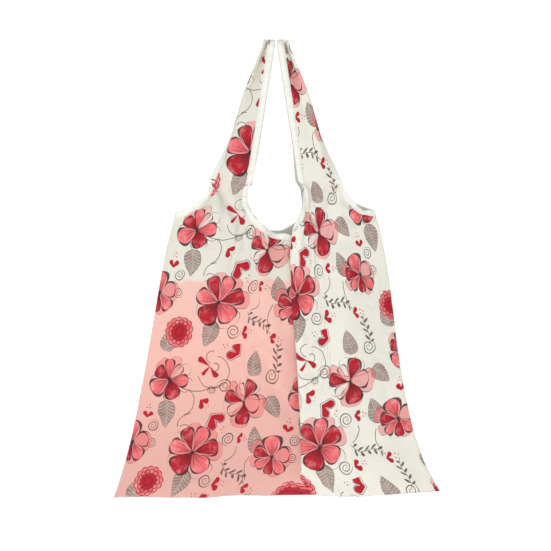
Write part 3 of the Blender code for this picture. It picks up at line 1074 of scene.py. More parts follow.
    def draw_curls(self, g: Graph, place: Wire, colour: Wire, _wash: Wire) -> Wire:
        """Spirals: a line where the radius and the turn keep step, about 5 mm out for each turn."""
        local, size, _ = self.nearest(g, place, self.curls)
        x, y, _ = g.split(local)
        radius = g.vector("LENGTH", local, output="Value")
        pitch = size * 0.44
        phase = radius / pitch - g.math("ARCTAN2", y, x) / (2 * math.pi)
        apart = g.math("WRAP", phase, 0.5, -0.5) * pitch
        line = self.edge(g, apart, g.step(0.0, 12.0, radius, 0.35, 0.95))
        return g.paint(colour, self.inks.line, line * g.step(size + 0.5, size, radius) * 0.85)

    def draw_sprigs(self, g: Graph, place: Wire, colour: Wire, _wash: Wire) -> Wire:
        """Stems on a shallow sine with an oval leaf every 11 mm on each side, by turns."""
        local, size, _ = self.nearest(g, place, self.sprigs)
        x, y, _ = g.split(local)
        y = y - g.math("SINE", x * 0.11) * 4.5
        away = g.math("ABSOLUTE", x)
        stem = self.edge(g, y, 0.5)
        above = g.math("GREATER_THAN", y, 0.0)
        slot = g.math("WRAP", x + above * 5.5 - g.math("ABSOLUTE", y) * 0.7, 5.5, -5.5)
        off = g.math("ABSOLUTE", y) - 4.3
        oval = g.math("SQRT", (slot / 2.3) ** 2.0 + (off / 3.7) ** 2.0)
        leaves = g.step(1.15, 0.9, oval) * g.step(size - 4.0, size - 6.0, away)
        mask = g.math("MAXIMUM", stem, leaves) * g.step(size, size - 1.0, away)
        return g.paint(colour, self.inks.leaf_dark, mask * 0.95)

    def draw_leaves(self, g: Graph, place: Wire, colour: Wire, wash: Wire) -> Wire:
        """Leaves with a round base and a point: half width 0.82 size t^0.45 (1 - t)^0.95 at share t."""
        local, size, _ = self.nearest(g, place, self.leaves)
        x, y, _ = g.split(local)
        t = g.math("ADD", x / size, 0.5, clamp=True)
        side = g.math("ABSOLUTE", y - g.math("SINE", t * math.pi) * 2.0)
        half = (t**0.45) * ((1.0 - t) ** 0.95) * size * 0.82
        depth = half - side
        inside = g.step(-0.2, 0.3, depth) * g.math("LESS_THAN", g.math("ABSOLUTE", x), size * 0.51)
        slant = g.math("WRAP", x - side * 0.95 + (side**2.0) * 0.035, 2.6, -2.6)
        ribs = self.edge(g, slant, 0.42) * g.step(0.3, 1.0, side)
        tone = g.paint(self.inks.leaf, self.inks.leaf_dark, g.step(0.35, 0.75, wash) * 0.75)
        tone = g.paint(tone, self.inks.vein, g.math("MAXIMUM", self.edge(g, side, 0.4), ribs) * 0.6)
        tone = g.paint(tone, self.inks.line, self.edge(g, depth - 0.3, 0.5) * 0.6)
        return g.paint(colour, tone, inside * 0.86)

    def petals(self, g: Graph, local: Wire, size: Wire, seed: Wire) -> tuple[Wire, ...]:
        """Six petals round a centre, crowded on one side.

        The turn is bent by 0.35 times its sine, then folded into six sectors. Along a petal at
        share s of its length, its half width is 0.52 s^0.85 sqrt(1 - s^4) of its length.

        Returns:
            Depth inside the petal's edge in mm, share along it, slant across it, the petal's
            own random number, the number of its sector, and the radius.
        """
        x, y, _ = g.split(local)
        radius = g.vector("LENGTH", local, output="Value")
        turn = g.math("ARCTAN2", y, x)
        sector = (turn - g.math("SINE", turn) * 0.35) * (3 / math.pi)
        index = g.math("FLOOR", sector)
        lean = (sector - index - 0.5) * (math.pi / 3)
        own = g.math("FRACT", g.math("SINE", index * 2.4 + seed * 1.7) * 43.7)
        length = size * (own * 0.2 + 0.86)
        along = g.math("DIVIDE", radius * g.math("COSINE", lean), length)
        s = g.math("MINIMUM", along, 1.0)
        across = g.math("ABSOLUTE", g.math("SINE", lean)) * radius
        half = (s**0.85) * g.math("SQRT", 1.0 - s**4.0) * length * 0.52
        beyond = g.math("MAXIMUM", along - 1.0, 0.0) * length
        return half - across - beyond * 4.0, s, lean, own, index, radius

    def draw_flowers(self, g: Graph, place: Wire, colour: Wire, wash: Wire) -> Wire:
        """Washed petals over a looser ghost of the same flower, each with a brushed outline."""
        local, size, seed = self.nearest(g, place, self.flowers)
        loose = g.turned(g.vector("ADD", local, (1.5, -3.5, 0.0)), 0.24)
        depth, s, _, own, _, _ = self.petals(g, loose, size * 1.14, seed + 0.6)
        filled = g.step(-0.5, 1.2, depth) * g.step(0.42, 0.5, own)
        colour = g.paint(colour, self.inks.coral, filled * 0.55)
        colour = g.paint(colour, self.inks.hair, self.edge(g, depth, 0.5) * 0.85)
        depth, s, lean, own, index, radius = self.petals(g, local, size, seed)
        inside = g.step(-0.2, 0.3, depth)
        bare = g.math("LESS_THAN", own, 0.12)
        turns = g.math("FRACT", index * 0.5 + own * 0.36 + g.math("FLOOR", seed * 0.05) * 0.5)
        dark = g.math("GREATER_THAN", turns, 0.42)
        tone = g.paint(self.inks.coral, self.inks.crimson, dark)
        rosy = g.step(0.42, 0.7, wash) * g.step(0.3, 0.9, s)
        tone = g.paint(tone, self.inks.rose, rosy * (0.75 - dark * 0.35))
        deep = g.step(0.75, 0.1, s) * g.step(0.25, 0.55, wash)
        tone = g.paint(tone, self.inks.deep, deep * (dark * 0.4 + 0.5))
        tone = g.paint(tone, self.inks.rose, g.step(3.4, 1.2, depth) * g.step(0.55, 0.6, own) * 0.85)
        veins = self.edge(g, g.math("WRAP", lean * 3.2, 0.5, -0.5) * radius * 0.3, 0.34) * g.step(0.9, 0.5, s)
        tone = g.paint(tone, self.inks.line, veins * 0.6)
        colour = g.paint(colour, tone, inside * (1.0 - bare * 0.86))
        brush = g.step(0.45, 0.95, s, 0.55, 2.5) * (own * 0.5 + 0.6)
        colour = g.paint(colour, self.inks.line, self.edge(g, depth - 0.3, brush) * 0.9)
        return g.paint(colour, self.inks.line, g.step(4.8, 1.5, radius + wash * 4.0 - 2.0) * 0.8)

    def draw_rosette(self, g: Graph, place: Wire, colour: Wire, wash: Wire) -> Wire:
        """Round head with four scalloped edges, each 13 bows round and half a bow out of step."""
        local, size, _ = self.nearest(g, place, (self.rosette,))
        x, y, _ = g.split(local)
        radius = g.vector("LENGTH", local, output="Value")
        turn = g.math("ARCTAN2", y, x)
        bows = g.math("ABSOLUTE", g.math("SINE", turn * 6.5)) ** 0.6
        gaps = g.math("ABSOLUTE", g.math("COSINE", turn * 6.5)) ** 0.6
        outer = size * (bows * 0.12 + 0.90) - radius
        middle = size * (gaps * 0.13 + 0.68) - radius
        inner = size * (bows * 0.12 + 0.46) - radius
        core = size * (gaps * 0.1 + 0.24) - radius
        tone = g.paint(self.inks.coral, self.inks.crimson, g.step(size * -0.3, size * 0.16, inner))
        tone = g.paint(tone, self.inks.rose, g.step(0.4, 0.7, wash) * g.step(1.0, -5.0, inner) * 0.6)
        for depth in (outer, middle, inner, core):
            tone = g.paint(tone, self.inks.deep, self.edge(g, depth - 0.6, 0.8) * 0.9)
        colour = g.paint(colour, self.inks.rose, g.step(-4.0, 0.0, outer) * 0.45)
        return g.paint(colour, tone, g.step(-0.2, 0.3, outer))

    def drop(self, g: Graph, local: Wire, length: Wire | float, fat: float, start: float) -> Wire:
        """Depth inside a drop: a round stroke along x.

        Its radius grows evenly from start times, to all of, fat times its length.
        """
        a, b, _ = g.split(local)
        reach = length * (1.0 - fat)
        t = g.math("DIVIDE", a, reach, clamp=True)
        away = g.vector("LENGTH", g.join(a - reach * t, b), output="Value")
        return (t * (1.0 - start) + start) * length * fat - away

    def draw_lobes(self, g: Graph, place: Wire, colour: Wire, _wash: Wire) -> Wire:
        """Hearts and butterflies: two drops that open from a point, and a few dots beside them."""
        local, size, _ = self.nearest(g, place, self.lobes)
        x, y, _ = g.split(local)
        pair = g.turned(g.join(x, g.math("ABSOLUTE", y)), -0.70)
        depth = self.drop(g, pair, size * 1.15, 0.33, 0.36)
        big = g.math("GREATER_THAN", size, 13.5)
        dots = g.join(g.math("WRAP", x, 2.5, -2.5), g.math("WRAP", y + x * 0.5, 2.7, -2.7))
        dot = g.step(1.35, 0.95, g.vector("LENGTH", dots, output="Value"))
        centre = g.vector("SUBTRACT", g.join(x, y), g.join(size * 1.6, 0.0))
        patch = g.step(5.6, 5.0, g.vector("LENGTH", centre, output="Value"))
        colour = g.paint(colour, self.inks.crimson, dot * patch * 0.85)
        shifted = self.drop(g, g.vector("ADD", pair, (0.6, -0.4, 0.0)), size * 1.15, 0.33, 0.36)
        colour = g.paint(colour, self.inks.line, self.edge(g, shifted + 1.5, 0.5) * big * 0.85)
        colour = g.paint(colour, self.inks.crimson, g.step(-0.25, 0.25, depth))
        wing, length, _ = self.nearest(g, place, self.wings)
        inside = self.drop(g, wing, length * 1.05, 0.2, 0.15)
        return g.paint(colour, self.inks.crimson, g.step(-0.25, 0.25, inside))


# ---------------------------------------------------------------------------------------------
# Finishes


def weave_group() -> Tree:
    """Fine plain weave with soft crinkles: height, and a shade that varies a little.

    Threads cross as the product of two sines 0.6 mm long; crinkles are two sizes of noise.
    """
    g = Group("fine_weave", {"Place": "Vector", "Crinkle": "Float"}, {"Height": "Float", "Shade": "Float"})
    place = g.given("Place")
    u, v, _ = g.split(g.vector("MULTIPLY", place, (10500.0, 10500.0, 0.0)))
    threads = g.math("SINE", u) * g.math("SINE", v)
    soft = g.noise(place, 55.0, 4.0)
    broad = g.noise(place, 16.0, 2.0)
    ridges = 1.0 - g.math("ABSOLUTE", soft - 0.5) * 2.0
    crinkle = (ridges * 0.7 + broad) * g.given("Crinkle")
    g.give("Height", crinkle + threads * 0.05)
    g.give("Shade", g.step(0.25, 0.75, broad * 0.6 + soft * 0.4))
    return g.tree


def stitch_group() -> Tree:
    """One row of stitches along u at a distance across: thread mask and the dent it pulls."""
    inputs = dict.fromkeys(("Along", "Across", "Length"), "Float")
    g = Group("stitch_row", inputs, {"Thread": "Float", "Dent": "Float"})
    along, across, length = g.given("Along"), g.math("ABSOLUTE", g.given("Across")), g.given("Length")
    slot = g.math("ABSOLUTE", g.math("WRAP", along, length * 0.5, length * -0.5)) / length
    thread = g.step(0.44, 0.36, slot) * g.step(0.00034, 0.0002, across)
    g.give("Thread", thread)
    g.give("Dent", g.step(0.0022, 0.0002, across) * (g.step(0.2, 0.5, slot) * 0.4 + 0.6))
    return g.tree


def new_material(name: str) -> tuple[Material, bpy.types.Node]:
    """A new material on nodes, and its Principled shader."""
    material = bpy.data.materials.new(name)
    material.use_nodes = True
    return material, material.node_tree.nodes["Principled BSDF"]


def link_finish(g: Graph, colour: Wire, rough: Wire, bump: dict[str, object]) -> None:
    """Link a colour, a roughness and the inputs of a Bump node to a material's shader."""
    normal = g.wire(g.add("Bump", bump))
    shader = g.tree.nodes["Principled BSDF"]
    for name, wire in (("Base Color", colour), ("Roughness", rough), ("Normal", normal)):
        g.tree.links.new(wire.socket, shader.inputs[name])


@dataclass(frozen=True)
class Fabric:
    """Shared look of a thin synthetic cloth; the shader's even values are its own fields."""

    name: str
    roughness: float = 0.55
    sheen: float = 0.12
    specular: float = 0.3
    crinkle: float = 1.0
    bump: float = 0.4
    distance: float = 0.0016
    sheen_roughness: float = 0.45
    roughness_swing: float = 0.07

    def start(self, weave: Tree) -> tuple[Graph, Material, Wire, bpy.types.Node]:
        """Begin the finish on a new material, with its shader's even values set.

        Args:
            weave: The fine weave's group.

        Returns:
            The material's graph, the material, the place on the flat cut, and the placed weave.
        """
        material, shader = new_material(self.name)
        shader.inputs["Sheen Weight"].default_value = self.sheen
        shader.inputs["Sheen Roughness"].default_value = self.sheen_roughness
        shader.inputs["Specular IOR Level"].default_value = self.specular
        g = Graph(material.node_tree)
        cut = g.wire(g.add("UVMap", uv_map="Cut"))
        return g, material, cut, g.group(weave, {"Place": cut, "Crinkle": self.crinkle})

    def finish(self, g: Graph, colour: Wire, height: Wire, shade: Wire) -> None:
        """Link the colour, the bump and a roughness that follows the shade.

        Args:
            g: The material's graph.
            colour: Base colour.
            height: Bump height, about 0 to 1.
            shade: 0 to 1 variation over the cloth.
        """
        middle, swing = self.roughness, self.roughness_swing
        rough = g.step(0.0, 1.0, shade, middle + swing, middle - swing)
        link_finish(g, colour, rough, {"Height": height, "Strength": self.bump, "Distance": self.distance})


@dataclass(frozen=True)
class PrintedCloth(Fabric):
    """Printed polyester, or its pale reverse.

    Below a soft ragged line the ground may turn pink, and painted shade darkens the pink towards the foot.
    """

    ground: Colour = linear(239, 236, 224)
    blush: Colour = linear(244, 188, 177)
    blush_top: float = 0.0
    # Share of the pink's brightness kept at the foot: painted shade.
    foot_shade: float = 0.82
    shaded: float = 0.86
    paler: float = 0.62
    reverse: bool = False

    def make(self, prints: Tree, weave: Tree) -> Material:
        """Build the material from the print and weave groups."""
        g, material, cut, cloth = self.start(weave)
        place = g.vector("MULTIPLY", g.wire(g.add("UVMap", uv_map="Print")), (1000.0, 1000.0, 0.0))
        height, shade = g.wire(cloth, "Height"), g.wire(cloth, "Shade")
        ground = g.paint(self.ground, darker(self.ground, self.shaded), shade * 0.5)
        if self.blush_top:
            _, v, _ = g.split(cut)
            ragged = v + g.noise(cut, 40.0, 3.0) * 0.016
            washed = g.step(self.blush_top + 0.013, self.blush_top + 0.003, ragged)
            ground = g.paint(ground, self.blush, washed * g.step(self.blush_top, 0.20, v, 0.84, 1.0))
            # Painted shade: the pink is darkened towards the foot.
            ground = g.paint(ground, darker(self.blush, self.foot_shade), g.step(0.24, 0.05, v, 0.0, 0.8))
        drawn = g.group(prints, {"Place": place, "Ground": ground})
        colour = g.wire(drawn, "Colour")
        if self.reverse:
            colour = g.paint(colour, self.ground, self.paler)
        self.finish(g, colour, height, shade)
        return material


@dataclass(frozen=True)
class TapeCloth(Fabric):
    """White edging tape with one row of stitches near each inner edge, a little puckered."""

    colour: Colour = linear(243, 243, 234)
    shadow: Colour = linear(206, 205, 192)
    stitch: float = 0.0026
    row: float = 0.0083

    def make(self, weave: Tree, stitches: Tree) -> Material:
        """Build the material from the weave and stitch groups."""
        g, material, cut, cloth = self.start(weave)
        along, across, _ = g.split(cut)
        off_row = g.math("ABSOLUTE", across) - self.row
        sewn = g.group(stitches, {"Along": along, "Across": off_row, "Length": self.stitch})
        thread, dent = g.wire(sewn, "Thread"), g.wire(sewn, "Dent")
        pucker = g.noise(g.join(along * 260.0, across * 50.0), 1.0, 2.0)
        height = g.wire(cloth, "Height") * 0.4 + pucker * 0.8 - dent * 0.7 + thread * 0.6
        shade = g.wire(cloth, "Shade")
        colour = g.paint(self.colour, self.shadow, g.step(0.35, 0.8, pucker) * 0.35)
        colour = g.paint(colour, self.shadow, dent * 0.45)
        colour = g.paint(colour, self.colour, thread)
        self.finish(g, colour, height, shade)
        return material


@dataclass(frozen=True)
class SergedThread(Fabric):
    """Overlock thread: close slanted loops across, and a chain along the inner edge."""

    colour: Colour = linear(238, 238, 230)
    shadow: Colour = linear(168, 164, 152)

    def make(self, weave: Tree) -> Material:
        """Build the material: loops are a sine of u plus a slant, the chain a sine at the edge."""
        g, material, cut, cloth = self.start(weave)
        along, across, _ = g.split(cut)
        bend = g.math("ABSOLUTE", g.math("WRAP", across, 0.0033, -0.0033))
        loops = g.math("SINE", (along + bend * 0.35) * 4200.0) * 0.5 + 0.5
        chain = g.step(0.0055, 0.0060, across) * (g.math("SINE", along * 2600.0) * 0.5 + 0.5)
        height = g.math("MAXIMUM", loops * 0.8, chain)
        colour = g.paint(self.shadow, self.colour, g.step(0.1, 0.55, height))
        self.finish(g, colour, height, g.wire(cloth, "Shade"))
        return material


@dataclass(frozen=True)
class LabelSatin(Fabric):
    """Blank satin label: fine ribs across, with painted shade darkening their troughs, and a sewn line near the
    seam.
    """

    colour: Colour = linear(244, 243, 238)
    rib_shade: Colour = linear(214, 212, 204)
    stitch: float = 0.0022
    row: float = 0.0035

    def make(self, weave: Tree, stitches: Tree) -> Material:
        """Build the material from the weave and stitch groups."""
        g, material, cut, cloth = self.start(weave)
        along, across, _ = g.split(cut)
        ribs = g.math("SINE", across * 9000.0) * 0.5 + 0.5
        sewn = g.group(stitches, {"Along": across, "Across": along - self.row, "Length": self.stitch})
        height = ribs * 0.3 + g.wire(cloth, "Height") * 0.4 - g.wire(sewn, "Dent") * 0.5
        # Painted shade: the colour darkens in the troughs between the ribs.
        colour = g.paint(self.rib_shade, self.colour, ribs * 0.5 + 0.5)
        self.finish(g, colour, height, g.wire(cloth, "Shade"))
        return material


@dataclass(frozen=True)
class SnapPlastic:
    """Moulded plastic press stud: fine speckle, worn brighter in noisy patches."""

    name: str = "snap_plastic"
    colour: Colour = linear(232, 230, 222)
    worn: Colour = linear(250, 249, 244)
    roughness: float = 0.38

    def make(self) -> Material:
        """Build the material on Object coordinates."""
        material, _ = new_material(self.name)
        g = Graph(material.node_tree)
        place = g.wire(g.add("TexCoord"), "Object")
        grain, scuff = g.noise(place, 2600.0, 2.0), g.noise(place, 320.0, 4.0)
        colour = g.paint(self.colour, self.worn, g.step(0.45, 0.7, scuff))
        rough = g.step(0.3, 0.7, scuff, self.roughness - 0.08, self.roughness + 0.12)
        height = grain * 0.4 + scuff
        link_finish(g, colour, rough, {"Height": height, "Strength": 0.12, "Distance": 0.0003})
        return material


def attach(piece: Piece, nodes: Sequence[str], body: str | None = None) -> None:
    """Say which nodes a piece stands for and, if one is given, the body it rides on.

    Args:
        piece: The piece.
        nodes: Nodes that it replaces.
        body: Body that it rides on, or None for none.
    """
    if body:
        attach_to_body(piece, body)
    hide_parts(*nodes)
    LOG.info("%s stands for %s", piece.name, ", ".join(nodes))


def dress_node(node: str, material: Material) -> None:
    """Give a kept node its finish."""
    kept = bpy.data.objects[node]
    kept.data.materials.clear()
    kept.data.materials.append(material)
    LOG.info("%s keeps its own shape", node)


# ---------------------------------------------------------------------------------------------
# Panels, tapes and seams


@dataclass
class Bag:
    """The whole bag: settled panels, their four halves, and everything sewn to them."""

    foot: float
    front_cut: Cut = field(default_factory=Cut)
    back_cut: Cut = field(default_factory=lambda: Cut(neck=0.420))
    settling: Settling = field(default_factory=Settling)
    split_u: float = 0.052
    cloth: float = 0.00035
    lean_left: float = 0.105
    lean_right: float = 0.25
    drop: float = 0.020
    gather: float = 0.30
    pouch_hangs: float = 0.0268
    pouch_z: tuple[float, float] = (-0.430, -0.280)
    pouch_swings: float = 0.0225
    swing_z: tuple[float, float] = (-0.435, -0.375)
    pouch_side: tuple[float, float] = (0.068, 0.10)
    pouch_fade: float = 0.04
    pouch_round: float = 0.003

    def hang(self) -> None:
        """Hang and settle both panels, then divide each inside its middle fold."""
        flat = {Face.FRONT: self.front_cut.body(), Face.BACK: self.back_cut.body()}
        front = Hang(Face.FRONT, self.front_cut, self.foot, belly=0.026).place(flat[Face.FRONT])
        back = Hang(Face.BACK, self.back_cut, self.foot, belly=0.034).place(flat[Face.BACK])
        held = np.zeros(front.shape[1], bool)
        for hand in Hand:
            held[self.front_cut.base_slice(hand)] = True
        front, back = self.settling.run(front, back, flat[Face.FRONT], flat[Face.BACK], held)
        back = self.clear_of_pouch(back, Face.BACK, self.pouch_hangs, self.pouch_z)
        front = self.clear_of_pouch(front, Face.FRONT, self.pouch_swings, self.swing_z)
        self.panels = {Face.FRONT: front, Face.BACK: back}
        self.cuts = {Face.FRONT: self.front_cut, Face.BACK: self.back_cut}
        self.halves: dict[tuple[Hand, Face], Half] = {}
        for face in Face:
            cut = self.cuts[face]
            split_at = self.split_u if face is Face.FRONT else -self.split_u
            split = int(np.argmin(np.abs(cut.columns() - split_at)))
            for hand in Hand:
                self.halves[hand, face] = Half(hand, face, cut, self.panels[face], Strap(cut), split)

    def between(self, x: Array, z: Array) -> tuple[Array, Array]:
        """Depths of both panels at some places, each the mean of the panel's four nearest points."""
        places = np.stack([x.ravel(), z.ravel()], axis=-1)
        depths = []
        for face in Face:
            panel = self.panels[face].reshape(-1, 3)
            away = np.linalg.norm(places[:, None] - panel[None, :, ::2], axis=-1)
            near = np.argsort(away, axis=1)[:, :4]
            weight = 1 / (np.take_along_axis(away, near, axis=1) + 1e-5)
            depths.append(((panel[near, 1] * weight).sum(axis=1) / weight.sum(axis=1)).reshape(x.shape))
        return depths[0], depths[1]

    def clear_of_pouch(self, panel: Array, face: Face, depth: float, band: tuple[float, float]) -> Array:
        """Panel moved smoothly outwards where the pouch hangs or swings inside it.

        Its distance out becomes the larger of itself and a depth, with the change rounded, inside
        a zone that fades at the pouch's sides and above and below its band of heights.

        Args:
            panel: The panel's points.
            face: Which panel.
            depth: Distance out that the pouch needs.
            band: Lowest and highest height of the zone.

        Returns:
            The moved points.
        """
        x, z = panel[..., 0], panel[..., 2]
        out = panel[..., 1] * face.value
        fade = self.pouch_fade
        zone = (1 - smooth(*self.pouch_side, np.abs(x))) * smooth(band[0] - fade, band[0], z)
        zone = zone * (1 - smooth(band[1], band[1] + fade, z))
        pushed = (out + depth + np.sqrt((out - depth) ** 2 + self.pouch_round**2)) / 2
        moved = panel.copy()
        moved[..., 1] = mix(out, pushed, zone) * face.value
        return moved

    def sew_panels(self, printed: Material, inside: Material, blushed_shaded: Material) -> None:
        """Make the four cloth pieces, each from the body of the bag up its strap.

        Args:
            printed: Outer side of the cloth.
            inside: Inner side of the cloth.
            blushed_shaded: Outer side of the front left half: pink below a ragged line, on a ground painted
                darker as shade.
        """
        for (hand, face), half in self.halves.items():
            side, name = hand.name.lower(), face.name.lower()
            outer = blushed_shaded if (hand, face) == (Hand.LEFT, Face.FRONT) else printed
            piece = shell(f"{name}_{side}_cloth", half.points, half.quads, half.uv, self.cloth, outer, inside)
            add_uv(piece, "Print", np.tile(self.printed_at(half), (2, 1)))
            nodes = [f"{side}_{name}_strap"] + ([f"{name}_panel"] if hand is Hand.LEFT else [])
            self.bend(piece, hand)
            attach(piece, nodes)

    def printed_at(self, half: Half) -> Array:
        """Place of each vertex on the repeat of the print.

        The print runs square to each handle, so its rows rise towards both sides: v loses the
        distance from the middle fold times the half's lean. On the right half the cloth is also
        drawn together near the handle, so u opens out there by the gather, and its rows start
        lower by the drop.
        """
        u, v = half.uv[..., 0] * (1 if half.face is Face.FRONT else -1), half.uv[..., 1]
        from_fold = u - self.split_u
        if (half.hand is Hand.LEFT) == (half.face is Face.FRONT):
            return np.stack([u, v + self.lean_left * from_fold], axis=-1)
        opened = 0.1 + (u - 0.1) * (1 + self.gather * smooth(0.18, 0.40, v))
        return np.stack([opened, v - self.drop - self.lean_right * from_fold], axis=-1)

    def bend(self, piece: Piece, hand: Hand) -> None:
        """Bake a piece's transform into its mesh."""
        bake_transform(piece)


@dataclass(frozen=True)
class Tape:
    """Bias tape folded over an edge and stitched down near its inner side."""

    cover: float = 0.0098
    skin: float = 0.00055
    thick: float = 0.00035

    def profile(self) -> tuple[Array, Array]:
        """The folded section as (distance into the cloth, lift off its middle), outer skin first."""
        c, s = self.cover, self.skin
        into = np.array([c, 0.96 * c, 0.72 * c, 0.48 * c, 0.24 * c, 0.0, -0.7 * s, -s])
        lift = np.array([0.35 * s, s, 1.06 * s, 1.1 * s, 1.06 * s, 0.95 * s, 0.6 * s, 0.0])
        into, lift = np.concatenate([into, into[-2::-1]]), np.concatenate([lift, -lift[-2::-1]])
        shrink = (s - self.thick) / s
        inner_into = np.where(into < 0, into * shrink, into - 0.0001)
        return np.concatenate([into, inner_into[::-1]]), np.concatenate([lift, lift[::-1] * shrink])

    def path(self, half: Half, neck: bool) -> Array:
        """Flat (u, v) along a half's neck or armhole edge, up to the top of the strap."""
        flat = half.body_uv[-1] if half.hand is Hand.LEFT else half.body_uv[-1, ::-1]
        last = len(flat) - 1
        outer = half.base.start if half.hand is Hand.LEFT else last - (half.base.stop - 1)
        inner = half.base.stop - 1 if half.hand is Hand.LEFT else last - half.base.start
        along = flat[inner:][::-1] if neck else flat[: outer + 1]
        at_inner = (half.hand is Hand.LEFT) == neck
        return np.concatenate([along, half.strap_uv[1:, -1 if at_inner else 0]])

    def rings(self, half: Half, neck: bool) -> tuple[Array, Array]:
        """Rings of the tape's section along one half's edge, and the length along the path.

        Each ring point is the cloth read at its distance in from the edge, moved off along the
        normal there; past the edge it goes straight on.
        """
        uv = self.path(half, neck)
        run = np.gradient(uv, axis=0)
        run[:, 0] *= half.hand.value * -1
        run = unit(run)
        inward = np.stack([run[:, 1], -run[:, 0]], axis=-1) * (-1 if neck else 1)
        inward = unit(np.stack([smoothed(inward[:, k]) for k in (0, 1)], axis=-1))
        inward[:, 0] *= half.hand.value * -1
        into, lift = self.profile()
        places = uv[:, None] + inward[:, None] * np.maximum(into, 0.0)[None, :, None]
        points, normals = half.read(places)
        edge = half.read(uv)[0]
        heading = unit(edge - half.read(uv + inward * 0.002)[0])
        past = np.maximum(-into, 0.0)[None, :, None]
        points = points + heading[:, None] * past + normals * lift[None, :, None]
        return points, distance_along(edge)

    def make(self, name: str, front: Half, back: Half, neck: bool, material: Material) -> Piece:
        """One length of tape, up the front half's edge and down the back half's."""
        up, up_length = self.rings(front, neck)
        down, down_length = self.rings(back, neck)
        rings = np.concatenate([up, down[::-1][1:]])
        length = np.concatenate([up_length, up_length[-1] + down_length[-1] - down_length[::-1][1:]])
        into, lift = self.profile()
        across = np.where(lift >= 0, into, -into - 2 * self.skin)
        u = np.broadcast_to(length[:, None], rings.shape[:2])
        uv = np.stack([u, np.broadcast_to(across, u.shape)], axis=-1)
        return tube(name, rings, uv, material)


def smoothed(values: Array, rounds: int = 3) -> Array:
    """Values along a path, each averaged with its two neighbours a few times."""
    for _ in range(rounds):
        padded = np.concatenate([values[:1], values, values[-1:]])
        values = (padded[:-2] + 2 * values + padded[2:]) / 4
    return values


@dataclass(frozen=True)
class Trim:
    """Tapes, seams and the join of each handle, for one bag."""

    bag: Bag
    tape: Material
    thread: Material
    seam_wide: float = 0.0065
    seam_thick: float = 0.0008
    seam_cells: int = 4
    join_rows: int = 12
    join_inset: int = 5
    join_proud: float = 0.0006
    join_thick: float = 0.0005

    def tapes(self) -> None:
        """Neck tape and armhole tape of each half."""
        for hand in Hand:
            side = hand.name.lower()
            front, back = self.bag.halves[hand, Face.FRONT], self.bag.halves[hand, Face.BACK]
            for neck, name in ((True, "neck"), (False, "armhole")):
                piece = Tape().make(f"{side}_{name}_binding", front, back, neck, self.tape)
                self.bag.bend(piece, hand)
                nodes = [f"{side}_handle_{name}_tape"]
                if neck:
                    nodes += ["front_neck_tape" if hand is Hand.LEFT else "back_neck_tape"]
                else:
                    nodes += [f"{side}_front_armhole_tape", f"{side}_back_armhole_tape"]
                attach(piece, nodes)

    def seams(self) -> None:
        """Overlocked allowances inside both sides and the bottom."""
        bag = self.bag
        both = [np.concatenate([bag.panels[face], bag.cuts[face].body()], axis=-1) for face in Face]
        middle = sum(refine(panel, 2) for panel in both) / 2
        wide = self.seam_cells
        up = slice(wide - 1, len(middle) - wide - 1)
        runs = {
            "left_side_seam": middle[up, :wide],
            "right_side_seam": middle[up, : -wide - 1 : -1],
            "bottom_seam": middle[:wide, wide - 1 : 1 - wide].swapaxes(0, 1),
        }
        for node, grid in runs.items():
            points = grid[..., :3]
            across = np.linspace(0, self.seam_wide, wide)
            uv = np.stack(np.meshgrid(distance_along(points[:, 0]), across, indexing="ij"), axis=-1)
            piece = grid_cloth(f"{node}_overlock", (points, uv), self.seam_thick, self.thread, self.thread)
            attach(piece, (node,), "bag_body")

    def joins(self, cloth: Material) -> None:
        """Lapped join over the top of each handle: the straps' own shape, a little proud."""
        top, across = slice(-self.join_rows, None), slice(self.join_inset, -self.join_inset)
        for hand in Hand:
            halves = (self.bag.halves[hand, face] for face in Face)
            straps = ((half.strap, half.strap_normals, half.strap_uv) for half in halves)
            front, back = (np.concatenate(strap, axis=-1)[top, across] for strap in straps)
            grid = np.concatenate([front, back[::-1][1:]])
            points, uv = grid[..., :3] + unit(grid[..., 3:6]) * self.join_proud, grid[..., 6:]
            side = hand.name.lower()
            piece = grid_cloth(f"{side}_handle_join", (points, uv), self.join_thick, cloth, cloth)
            add_uv(piece, "Print", np.tile(uv.reshape(-1, 2), (2, 1)))
            attach(piece, (f"{side}_handle_seam",), f"{side}_handle")


# ---------------------------------------------------------------------------------------------
# Storage pouch and care label


